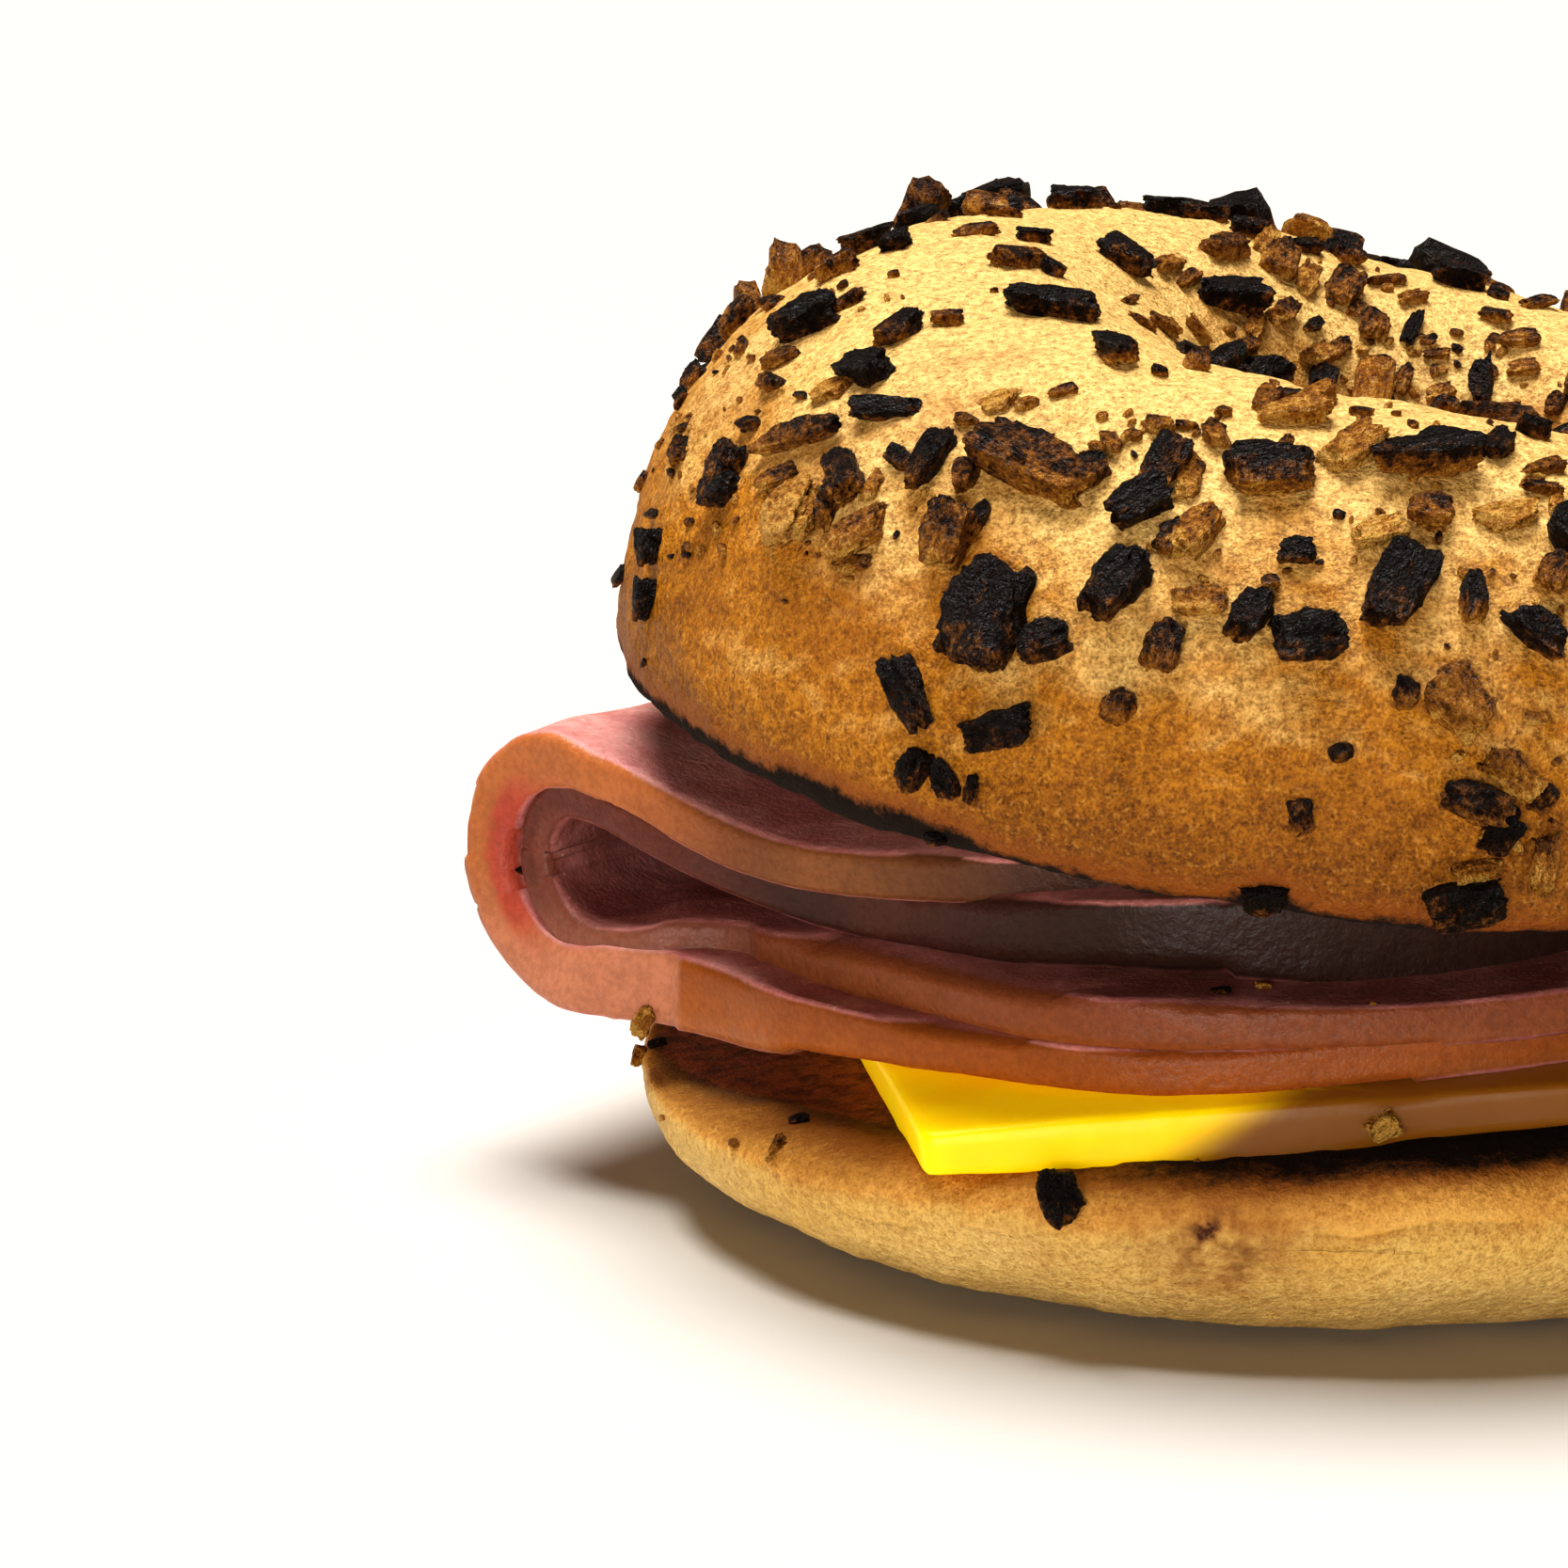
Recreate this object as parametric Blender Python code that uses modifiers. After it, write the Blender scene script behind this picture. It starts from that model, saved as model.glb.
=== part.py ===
"""A toasted onion bagel, sliced in two, with folded slices of ham and a slice of cheese between its halves.

Metres, +Z up, resting on z = 0, with the origin under the middle of its footprint. The front is at -Y, and
the folds of the ham stand out at the left, at -X. All is laid out about the bagel's own axis, and at the end
moved over the origin.
"""

import math

import bmesh
import bpy
from mathutils import Matrix, Vector

MM = 0.001

# The whole bagel, before it is sliced: a rope of dough closed into a ring, with its hole right of the middle
BAGEL_RADIUS = 49.8 * MM
OUTLINE_WAVES = (  # how many around the outline, where they start, and how high: dough is never quite round
    (3, math.radians(120), 0.24 * MM),
    (5, math.radians(40), 0.16 * MM),
)
HOLE_RADIUS = 8.0 * MM
HOLE_OFFSET = 5.0 * MM
EQUATOR_HEIGHT = 16.5 * MM
RISE_ABOVE_EQUATOR = 24.2 * MM
SWELLINGS = (  # where along the ring, how far along it, and by how much the crust rises higher
    (math.radians(130), math.radians(30), 1.6 * MM),
    (math.radians(175), math.radians(35), 1.0 * MM),
    (math.radians(65), math.radians(30), -0.9 * MM),
    (math.radians(300), math.radians(35), 0.4 * MM),
)
DROP_BELOW_EQUATOR = 17.4 * MM  # past the base, which the oven tray flattens at z = 0
LOWER_FULLNESS = 0.55  # 1 is an ellipse, and less is squarer
RING_SEGMENTS = 60
ROPE_SEGMENTS = 26

# The slanting cut, higher at the right than at the left
CUT_HEIGHT = 13.4 * MM
CUT_SLOPE = 0.090

# Toasting draws the crust in along the cut: how far in, and from how far off the cut
BOTTOM_CURL = (3.0 * MM, 5.0 * MM)
CROWN_CURL = (2.2 * MM, 4.0 * MM)
CURL_RINGS = (0.25, 0.6)  # shares of the curl where the crust gets a ring of points more

# The upper half lies propped open at the left and at the back by what is in it
CROWN_LIFT = 20.0 * MM
CROWN_ROLL = math.radians(10.2)
CROWN_PITCH = math.radians(5.8)

# The cheese: a soft square slice, laid down a little out of square, its corners drooping past the bread
CHEESE_SIDE = 74 * MM
CHEESE_THICKNESS = 2.5 * MM
CHEESE_FRONT_TURN = math.radians(4)
CHEESE_LEFT_TURN = math.radians(14)
CHEESE_CORNER = Vector((-23.0 * MM, -44.8 * MM))
CHEESE_DROOPS_FROM = 45 * MM  # from the bagel's axis
CHEESE_DROOP = 12.0  # metres down for each square metre past that
CHEESE_DIVISIONS = (10, 10)

# The ham: each slice is folded over at the left, on a fold that runs back and to the right
FOLD_TURN = math.radians(28)
OUTER_HAM_THICKNESS = 2.7 * MM
INNER_HAM_THICKNESS = 2.3 * MM
INNER_HAM_SET_BACK = 4 * MM
HAM_DIVISIONS = (44, 10)
CLOSER_AT_THE_FOLD = 1.6  # 1 spaces the divisions evenly, and more draws them to the fold

CLEARANCE = 0.35 * MM


def clear_scene():
    for obj in list(bpy.data.objects):
        bpy.data.objects.remove(obj)


def material(name, colour, roughness):
    mat = bpy.data.materials.new(name)
    mat.use_nodes = True
    shader = mat.node_tree.nodes["Principled BSDF"]
    shader.inputs["Base Color"].default_value = (*colour, 1)
    shader.inputs["Roughness"].default_value = roughness
    return mat


def signed_power(value, exponent):
    return math.copysign(abs(value) ** exponent, value)


def smooth(value):
    """0 to 1 as value goes from 0 to 1, flat at both ends."""
    value = min(max(value, 0.0), 1.0)
    return value * value * (3 - 2 * value)


def mix(start, end, share):
    return start + (end - start) * share


def hump(value, middle, spread):
    """1 at the middle, falling off smoothly on both sides."""
    return math.exp(-(((value - middle) / spread) ** 2))


# The bagel


def cut_height(x):
    """Height of the lower half's cut face."""
    return CUT_HEIGHT + CUT_SLOPE * x


def hole_edge(around):
    """How far the wall of the round, off-centre hole lies from the ring's axis."""
    return HOLE_OFFSET * math.cos(around) + math.sqrt(HOLE_RADIUS**2 - (HOLE_OFFSET * math.sin(around)) ** 2)


def outline(around):
    waves = (height * math.sin(count * around + start) for count, start, height in OUTLINE_WAVES)
    return BAGEL_RADIUS + sum(waves)


def rope_point(around, section):
    """A point of the crust: around is the angle about the ring's axis, section the angle about the rope."""
    radius = mix(hole_edge(around), outline(around), (1 + math.cos(section)) / 2)
    rise = math.sin(section)
    if rise > 0:
        swelling = sum(
            height * hump(math.remainder(around - middle, math.tau), 0, spread)
            for middle, spread, height in SWELLINGS
        )
        z = EQUATOR_HEIGHT + (RISE_ABOVE_EQUATOR + swelling) * rise
    else:
        z = EQUATOR_HEIGHT + DROP_BELOW_EQUATOR * signed_power(rise, LOWER_FULLNESS)
    return Vector((radius * math.cos(around), radius * math.sin(around), max(z, 0)))


def whole_bagel(name):
    ring_radius = (BAGEL_RADIUS + HOLE_RADIUS) / 2
    bpy.ops.mesh.primitive_torus_add(
        major_radius=ring_radius,
        minor_radius=(BAGEL_RADIUS - HOLE_RADIUS) / 2,
        major_segments=RING_SEGMENTS,
        minor_segments=ROPE_SEGMENTS,
    )
    ring = bpy.context.object
    ring.name = name
    for vertex in ring.data.vertices:
        x, y, z = vertex.co
        vertex.co = rope_point(math.atan2(y, x), math.atan2(z, math.hypot(x, y) - ring_radius))
    return ring


def keep_half(ring, upper):
    """Slices the ring at the knife's cut, keeps one half, curls its crust in and closes its cut face."""
    mesh = bmesh.new()
    mesh.from_mesh(ring.data)
    depth, reach = CROWN_CURL if upper else BOTTOM_CURL
    for share in (0, *CURL_RINGS):
        bmesh.ops.bisect_plane(
            mesh,
            geom=mesh.verts[:] + mesh.edges[:] + mesh.faces[:],
            dist=0.01 * MM,
            plane_co=(0, 0, CUT_HEIGHT + (share if upper else -share) * reach),
            plane_no=Vector((-CUT_SLOPE, 0, 1)).normalized(),
            clear_inner=upper and not share,
            clear_outer=not upper and not share,
        )
    curl_in(mesh, depth, reach)
    rims = [edge for edge in mesh.edges if edge.is_boundary]
    bmesh.ops.triangle_fill(mesh, edges=rims, use_beauty=True, normal=(-CUT_SLOPE, 0, 1))
    bmesh.ops.recalc_face_normals(mesh, faces=mesh.faces)
    mesh.to_mesh(ring.data)
    mesh.free()


def curl_in(mesh, depth, reach):
    """Rounds the crust over, towards the middle of the rope, along the cut."""
    for vertex in mesh.verts:
        off_cut = abs(vertex.co.z - cut_height(vertex.co.x))
        if off_cut >= reach:
            continue
        around = math.atan2(vertex.co.y, vertex.co.x)
        middle = (BAGEL_RADIUS + hole_edge(around)) / 2
        share = (vertex.co.xy.length - middle) / (BAGEL_RADIUS - middle)
        inward = depth * (1 - math.sqrt(1 - (1 - off_cut / reach) ** 2)) * share
        shift = Vector((-math.cos(around), -math.sin(around))) * inward
        vertex.co += Vector((shift.x, shift.y, CUT_SLOPE * shift.x))


def bagel_half(name, upper, look):
    half = whole_bagel(name)
    keep_half(half, upper)
    half.data.materials.append(look)
    half.data.shade_smooth()
    return half


def crown_placement():
    """Lifts and tilts the upper half from where it was cut to where it lies."""
    pivot = Vector((0, 0, CUT_HEIGHT))
    return (
        Matrix.Translation(pivot + Vector((0, 0, CROWN_LIFT)))
        @ Matrix.Rotation(CROWN_PITCH, 4, "X")
        @ Matrix.Rotation(CROWN_ROLL, 4, "Y")
        @ Matrix.Translation(-pivot)
    )


def crown_cut_height(x, y):
    """Height of the upper half's cut face over a point."""
    placed = crown_placement()
    centre = placed @ Vector((0, 0, CUT_HEIGHT))
    normal = placed.to_3x3() @ Vector((-CUT_SLOPE, 0, 1))
    return centre.z - ((x - centre.x) * normal.x + (y - centre.y) * normal.y) / normal.z


# The fillings


def sheet(name, place, divisions, thickness, look):
    """A grid whose points, from -1 to 1 each way, place puts in space, given a thickness about its middle."""
    bpy.ops.mesh.primitive_grid_add(x_subdivisions=divisions[0], y_subdivisions=divisions[1], size=2)
    made = bpy.context.object
    made.name = name
    for vertex in made.data.vertices:
        vertex.co = place(vertex.co.x, vertex.co.y)
    solid = made.modifiers.new("Thickness", "SOLIDIFY")
    solid.thickness = thickness
    solid.offset = 0
    made.data.materials.append(look)
    made.data.shade_smooth()
    return made


def cheese_point(a, b):
    """A point of the slice: a goes from left to right, and b from front to back."""
    along = (a + 1) / 2 * CHEESE_SIDE
    back = (b + 1) / 2 * CHEESE_SIDE
    x = CHEESE_CORNER.x + along * math.cos(CHEESE_FRONT_TURN) - back * math.sin(CHEESE_LEFT_TURN)
    y = CHEESE_CORNER.y + along * math.sin(CHEESE_FRONT_TURN) + back * math.cos(CHEESE_LEFT_TURN)
    overhang = max(math.hypot(x, y) - CHEESE_DROOPS_FROM, 0)
    return Vector((x, y, cut_height(x) + CHEESE_THICKNESS / 2 + CLEARANCE - CHEESE_DROOP * overhang**2))


class Fold:
    """The shape of one folded slice of ham, through the middle of its thickness.

    p is measured square to the fold, to the right, and v along it, to the back, both from the bagel's axis.
    """

    tip = -48.6 * MM  # p of the outer slice's fold
    tip_height = 23.4 * MM
    upper_bow = (6.0 * MM, 7.2 * MM)  # width and height of the quarter turn above the tip
    lower_bow = (8.8 * MM, 8.9 * MM)
    upper_reach = 80 * MM  # from the fold to the end of the layer, along the meat
    lower_reach = 96 * MM
    upper_round = 42 * MM  # how far from the fold the layer's end starts to round off
    lower_round = 50 * MM
    settle = 26 * MM  # how far past its bow the upper layer comes to lie flat
    half_length = 40 * MM

    upper_level = 29.9 * MM  # where the upper layer lies flat, at the axis, and its slopes
    upper_slopes = (0.10, 0.05)

    # The front edge lies behind the slice's full width
    by_the_fold = 6.5 * MM
    by_the_fold_spread = 14 * MM
    above = 4.5 * MM  # the upper layer, away from the fold
    notch = (4.0 * MM, -28 * MM, 8 * MM)  # depth, p and spread, in the lower layer
    bulge = (2.0 * MM, 10 * MM, 14 * MM)
    set_back_ends = (-20 * MM, 4 * MM)  # from where to where the inner lower layer comes level with the outer

    # The back edge rounds off by the fold
    back_rounding = 10 * MM
    back_rounding_spread = 16 * MM

    def __init__(self, inset, set_back):
        self.inset = inset  # how far inside the outer slice's middle this one's middle lies
        self.set_back = set_back

    def flat_heights(self, x, y):
        """Heights of the middle of the upper and the lower layer where they lie flat."""
        lower = cut_height(x) + CHEESE_THICKNESS + 2 * CLEARANCE + OUTER_HAM_THICKNESS / 2
        upper = self.upper_level + self.upper_slopes[0] * x + self.upper_slopes[1] * y
        upper = min(upper, crown_cut_height(x, y) - CLEARANCE - OUTER_HAM_THICKNESS / 2)
        return upper - self.inset, lower + self.inset

    def front_retreat(self, p, upper):
        near_fold = hump(p, self.tip, self.by_the_fold_spread)
        if upper:
            return mix(self.above, self.by_the_fold, near_fold) + self.set_back * mix(0.5, 1, near_fold)
        notch, bulge = (size * hump(p, middle, spread) for size, middle, spread in (self.notch, self.bulge))
        start, end = self.set_back_ends
        set_back = self.set_back * (1 - smooth((p - start) / (end - start)))
        return self.by_the_fold * near_fold + notch - bulge + set_back

    def back_retreat(self, p):
        return self.back_rounding * hump(p, self.tip, self.back_rounding_spread) + self.set_back / 2

    def rounded_end(self, distance, b, reach, start):
        """Draws a layer's square end in to a round one, and gives the new distance along the meat and b."""
        if distance <= start:
            return distance, b
        share = (distance - start) / (reach - start)
        along = start + (reach - start) * share * math.sqrt(1 - b * b / 2)
        return along, b * math.sqrt(1 - share * share / 2)

    def point(self, a, b):
        """A point of the slice: a goes from the upper layer's end to the lower's, b from front to back."""
        upper = a < 0
        if upper:
            reach, start, bow = self.upper_reach, self.upper_round, self.upper_bow
        else:
            reach, start, bow = self.lower_reach, self.lower_round, self.lower_bow
        share = abs(a) ** CLOSER_AT_THE_FOLD
        distance, b = self.rounded_end(share * reach, b, reach, start)
        distance = max(distance - self.inset * share, 0)
        bow_width, bow_height = (size - self.inset for size in bow)
        quarter = math.pi / 4 * (bow_width + bow_height)
        turn = min(distance / quarter, 1) * math.pi / 2
        run = max(distance - quarter, 0)
        p = self.tip + self.inset + bow_width * (1 - math.cos(turn)) + run
        retreat = self.front_retreat(p, upper) if b < 0 else self.back_retreat(p)
        v = b * (self.half_length - retreat)
        x = p * math.cos(FOLD_TURN) + v * math.sin(FOLD_TURN)
        y = -p * math.sin(FOLD_TURN) + v * math.cos(FOLD_TURN)
        flat_above, flat_below = self.flat_heights(x, y)
        if upper:
            bowed = self.tip_height + bow_height * math.sin(turn)
            return Vector((x, y, mix(bowed, flat_above, smooth(run / self.settle))))
        bowed = self.tip_height - bow_height * math.sin(turn)
        return Vector((x, y, max(bowed, flat_below)))


# The whole


def stand_on_origin(pieces, name):
    """Hangs the pieces on an empty, and moves it until the middle of their footprint is over the origin."""
    bpy.context.view_layer.update()
    graph = bpy.context.evaluated_depsgraph_get()
    corners = [
        piece.matrix_world @ vertex.co
        for piece in pieces
        for vertex in piece.evaluated_get(graph).data.vertices
    ]
    middle = [(min(c[axis] for c in corners) + max(c[axis] for c in corners)) / 2 for axis in (0, 1)]
    holder = bpy.data.objects.new(name, None)
    for piece in pieces:
        piece.parent = holder
    holder.location = (-middle[0], -middle[1], 0)
    group = bpy.data.collections.new(name)
    bpy.context.scene.collection.children.link(group)
    for piece in (holder, *pieces):
        for collection in piece.users_collection:
            collection.objects.unlink(piece)
        group.objects.link(piece)


def main():
    clear_scene()
    crust = material("toasted_crust", (0.55, 0.27, 0.06), 0.5)
    outer_ham = material("ham", (0.75, 0.33, 0.25), 0.45)
    inner_ham = material("ham_in_the_fold", (0.62, 0.22, 0.18), 0.45)
    cheese = material("processed_cheese", (1.0, 0.72, 0.03), 0.4)
    outer = Fold(0, 0)
    inner = Fold((OUTER_HAM_THICKNESS + INNER_HAM_THICKNESS) / 2 + CLEARANCE, INNER_HAM_SET_BACK)
    crown = bagel_half("bagel_top", True, crust)
    crown.matrix_world = crown_placement()
    pieces = [
        bagel_half("bagel_bottom", False, crust),
        sheet("cheese_slice", cheese_point, CHEESE_DIVISIONS, CHEESE_THICKNESS, cheese),
        sheet("ham_outer", outer.point, HAM_DIVISIONS, OUTER_HAM_THICKNESS, outer_ham),
        sheet("ham_inner", inner.point, HAM_DIVISIONS, INNER_HAM_THICKNESS, inner_ham),
        crown,
    ]
    stand_on_origin(pieces, "bagel_sandwich")


main()
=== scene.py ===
"""Looks of a toasted onion bagel sandwich: crust, folded ham, processed cheese, onion flakes and crumbs.

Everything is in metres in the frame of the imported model. Sizes that read better in millimetres are
written as a number times MM. Each class below is one piece of the sandwich or one of its finishes.
"""

import logging
import math
import random
from dataclasses import dataclass, field
from enum import Enum
from functools import partial

import bpy
import numpy as np
from mathutils import Matrix, Vector, kdtree


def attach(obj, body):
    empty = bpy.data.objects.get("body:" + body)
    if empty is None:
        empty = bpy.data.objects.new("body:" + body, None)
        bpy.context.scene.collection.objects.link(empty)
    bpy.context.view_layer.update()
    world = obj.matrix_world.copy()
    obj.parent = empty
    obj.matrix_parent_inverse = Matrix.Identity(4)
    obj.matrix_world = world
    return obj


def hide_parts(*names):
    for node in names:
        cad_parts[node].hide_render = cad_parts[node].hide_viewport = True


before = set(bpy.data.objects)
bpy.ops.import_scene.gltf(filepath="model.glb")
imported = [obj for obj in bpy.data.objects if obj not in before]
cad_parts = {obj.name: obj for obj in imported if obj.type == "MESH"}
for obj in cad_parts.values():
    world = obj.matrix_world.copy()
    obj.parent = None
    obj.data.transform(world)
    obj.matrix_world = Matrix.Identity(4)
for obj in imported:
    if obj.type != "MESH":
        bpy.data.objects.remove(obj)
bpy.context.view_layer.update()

MM = 0.001
BODY = "root"
PHOTO_SIDE = 1667
QUAD_TURN, QUAD_SKEW, SMOOTH_TURN = math.radians(60), math.radians(70), math.radians(38)
LOG = logging.getLogger("bagel_sandwich")

# The kinds of shader node. RANGE takes a value as input 0, its span as 1 and 2, and the new span as 3 and 4.
# MIX takes a share as input 0 and two colours as 6 and 7, and gives the mixed colour as output 2.
PLACE, TURN, READ = "ShaderNodeTexCoord", "ShaderNodeMapping", "ShaderNodeAttribute"
NOISE, RAMP, RANGE = "ShaderNodeTexNoise", "ShaderNodeValToRGB", "ShaderNodeMapRange"
MATH, MIX, BUMP = "ShaderNodeMath", "ShaderNodeMix", "ShaderNodeBump"
SKIN, SURFACE = "ShaderNodeBsdfPrincipled", "ShaderNodeOutputMaterial"
COLOURS = {"data_type": "RGBA", "out": 2}
SOFT = {"interpolation_type": "SMOOTHSTEP"}


# Colours and shader nodes


def colour(code: str) -> tuple[float, float, float, float]:
    """Turns an sRGB colour into the linear one that the shaders take.

    Args:
        code: Six hex digits, red first.

    Returns:
        Linear red, green, blue, and an alpha of 1.
    """
    parts = [int(code[i : i + 2], 16) / 255 for i in (0, 2, 4)]
    linear = [c / 12.92 if c <= 0.04045 else ((c + 0.055) / 1.055) ** 2.4 for c in parts]
    return (*linear, 1.0)


def add_node(
    tree: bpy.types.NodeTree,
    kind: str,
    inputs: dict | None = None,
    stops: list[tuple[float, str]] | None = None,
    out: int | str = 0,
    **settings,
) -> bpy.types.NodeSocket | None:
    """Adds one node with its settings and links.

    Args:
        tree: The material's or world's node tree.
        kind: The node's type name.
        inputs: Values or sockets for the node's inputs, by name or by number.
        stops: Places and colours of a colour ramp.
        out: The output to hand on.
        **settings: The node's own properties.

    Returns:
        That output, or None where the node has none.
    """
    node = tree.nodes.new(kind)
    for name, value in settings.items():
        setattr(node, name, value)
    for key, value in (inputs or {}).items():
        if isinstance(value, bpy.types.NodeSocket):
            tree.links.new(value, node.inputs[key])
        else:
            node.inputs[key].default_value = value
    for number, (place, code) in enumerate(stops or []):
        ramp = node.color_ramp.elements
        stop = ramp[number] if number < 2 else ramp.new(place)
        stop.position = place
        stop.color = colour(code)
    return node.outputs[out] if node.outputs else None


def per_size(size: float) -> float:
    """Scale of a noise or cell pattern on Object coordinates whose features have this size in metres."""
    return 1 / size


def new_material(name: str) -> tuple[bpy.types.Material, bpy.types.NodeTree]:
    """Makes an empty material.

    Args:
        name: What the real finish is called.

    Returns:
        The material and its node tree.
    """
    made = bpy.data.materials.new(name)
    made.use_nodes = True
    made.node_tree.nodes.clear()
    return made, made.node_tree


# Finishes


@dataclass(frozen=True)
class ToastedCrust:
    """Baked wheat crust, toasted: dry and pebbly, golden to brown, black at the cut, with light painted into
    its tone.

    The eye takes it for bread by its matt, grainy colour with small painted highlights, which pales where
    the crust faces up as painted light, and by the ragged black rim. The crust's own numbers come as
    attributes: the depth under the charred rim, the cut face, how far the crust faces up, the browned
    patches with one of painted shade among them, and the wrinkled places, whose crests and hollows carry
    painted light and shade.
    """

    name: str
    low: str
    golden: str
    bright: str
    pale: str
    char: str = "180d06"
    ash: str = "26160c"
    scorch: str = "8a4a12"
    # This colour serves the browned patches and the brown under the rim, and also painted shade: in the
    # wrinkles' hollows and in one patch.
    scorch_core: str = "4a230c"
    crumb: str = "a85c3a"
    crumb_dark: str = "5e2a18"
    # This colour is painted highlight: the small bright specks and the wrinkles' crests.
    painted_glint: str = "f6bc60"
    shade_from: str = "77603f"
    shade_mid: str = "c9bda6"
    grain_depth: float = 0.85
    painted_glint_depth: float = 0.3
    brown_below: float = 2.2 * MM
    black_above: float = 0.5 * MM
    black_below: float = 0.3 * MM
    cut_char: float = 0.5 * MM
    ragged: float = 0.8 * MM
    clump: float = 1.2 * MM
    clumped: float = 1.5 * MM
    wander: float = 1.4 * MM
    patch: float = 12 * MM
    wrinkle: float = 0.55 * MM
    # The flour's grain is finer than this, and is drawn as coarse as it needs to show.
    grain: float = 0.2 * MM
    speck: float = 0.4 * MM
    streak: float = 0.35 * MM
    pit: float = 1.6 * MM
    crease: float = 0.6 * MM
    relief: float = 0.3 * MM
    roughness: float = 0.5
    roughness_char: float = 0.9

    def material(self) -> bpy.types.Material:
        """Builds the crust's shader."""
        made, tree = new_material(self.name)
        node = partial(add_node, tree)
        place = node(PLACE, out="Object")
        depth, on_cut, inward, scorched_and_shaded, upward, over_fold, folded = (
            node(READ, out="Fac", attribute_name=name)
            for name in ("under_rim", "on_cut", "inward", "scorch", "upward", "over_fold", "folded")
        )
        patches, fine, rough, specks, spots, slow, clumps = (
            node(NOISE, {"Vector": place, "Scale": per_size(size), "Detail": detail, "Roughness": roughness})
            for size, detail, roughness in (
                (self.patch, 4.0, 0.6), (self.grain, 3.0, 0.6), (self.wrinkle, 3.0, 0.6),
                (self.speck, 1.0, 0.5), (self.pit, 4.0, 0.7), (self.patch / 2, 3.0, 0.5),
                (self.clump, 3.0, 0.6),
            )
        )
        # Painted light: the tone pales where the crust faces up, over patches of tone that differ at random.
        broad = node(MATH, {0: patches, 1: 1.5, 2: upward}, operation="MULTIPLY_ADD")
        broad = node(RANGE, {0: broad, 1: -0.25, 2: 1.75})
        tone = node(RAMP, {0: broad},
                    [(0.1, self.low), (0.42, self.golden), (0.62, self.bright), (0.86, self.pale)])

        pebbles = node(MATH, {0: fine, 1: rough}, operation="ADD")
        shade = node(RAMP, {0: node(MATH, {0: pebbles, 1: 0.5}, operation="MULTIPLY")},
                     [(0.36, self.shade_from), (0.48, self.shade_mid), (0.6, "ffffff")])
        tone = node(MIX, {0: self.grain_depth, 6: tone, 7: shade}, blend_type="MULTIPLY", **COLOURS)
        # Painted highlight: small bright specks of a light colour where the speck pattern is highest.
        painted_glints = node(RANGE, {0: specks, 1: 0.54, 2: 0.8, 3: 0.0, 4: self.painted_glint_depth}, **SOFT)
        tone = node(MIX, {0: painted_glints, 6: tone, 7: colour(self.painted_glint)}, **COLOURS)
        # Painted light and shade on the wrinkles: their crests lighter and their hollows dimmer, besides the
        # bump.
        fold = node(RANGE, {0: over_fold, 1: -2 * self.crease, 2: 3 * self.crease})
        none, full = "000000", "ffffff"
        shaded_groove, lit_ridge = (
            node(MATH, {0: folded, 1: node(RAMP, {0: fold}, [(start, none), (top, full), (end, none)])},
                 operation="MULTIPLY")
            for start, top, end in ((0.05, 0.34, 0.43), (0.38, 0.5, 0.95))
        )
        for part, much, code in ((shaded_groove, 0.16, self.scorch), (lit_ridge, 0.45, self.painted_glint)):
            share = node(MATH, {0: part, 1: much}, operation="MULTIPLY")
            tone = node(MIX, {0: share, 6: tone, 7: colour(code)}, **COLOURS)
        # The patches darken the tone: most are browned crust, and one is painted shade under flakes.
        uneven = node(RANGE, {0: spots, 1: 0.3, 2: 0.65, 3: 0.3, 4: 1.2}, **SOFT)
        patch_share = node(MATH, {0: scorched_and_shaded, 1: uneven}, operation="MULTIPLY", use_clamp=True)
        core = node(RANGE, {0: patch_share, 1: 0.55, 2: 1.0})
        patch_tone = node(MIX, {0: core, 6: colour(self.scorch), 7: colour(self.scorch_core)}, **COLOURS)
        tone = node(MIX, {0: patch_share, 6: tone, 7: patch_tone}, **COLOURS)

        upright = node(TURN, {"Vector": place, "Scale": (1, 1, 0.6)})
        streaks = node(NOISE, {"Vector": upright, "Scale": per_size(self.streak), "Detail": 3.0,
                               "Roughness": 0.7})
        edge = depth
        for part, size in ((streaks, self.ragged), (slow, self.wander), (clumps, self.clumped)):
            edge = node(MATH, {0: part, 1: size, 2: edge}, operation="MULTIPLY_ADD")
        lag = (self.ragged + self.wander + self.clumped) / 2
        brown = node(RANGE, {0: edge, 1: lag, 2: lag + self.brown_below, 3: 0.8, 4: 0.0}, **SOFT)
        tone = node(MIX, {0: brown, 6: tone, 7: colour(self.scorch)}, **COLOURS)
        black = node(RANGE, {0: edge, 1: lag - self.black_above, 2: lag + self.black_below, 3: 1.0, 4: 0.0},
                     **SOFT)
        soot = node(MIX, {0: node(RANGE, {0: pebbles, 1: 1.0, 2: 1.25}), 6: colour(self.char),
                          7: colour(self.ash)}, **COLOURS)
        tone = node(MIX, {0: black, 6: tone, 7: soot}, **COLOURS)
        holes = node(RANGE, {0: spots, 1: 0.36, 2: 0.6}, **SOFT)
        inside = node(MIX, {0: holes, 6: colour(self.crumb_dark), 7: colour(self.crumb)}, **COLOURS)
        inside = node(MIX, {0: 0.8, 6: inside, 7: shade}, blend_type="MULTIPLY", **COLOURS)
        edge = node(MATH, {0: streaks, 1: -2 * self.ragged, 2: inward}, operation="MULTIPLY_ADD")
        singed = node(RANGE, {0: edge, 1: self.cut_char * 0.4 - self.ragged,
                              2: self.cut_char * 1.3 - self.ragged, 3: 1.0, 4: 0.0}, **SOFT)
        inside = node(MIX, {0: singed, 6: inside, 7: soot}, **COLOURS)
        tone = node(MIX, {0: on_cut, 6: tone, 7: inside}, **COLOURS)

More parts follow.
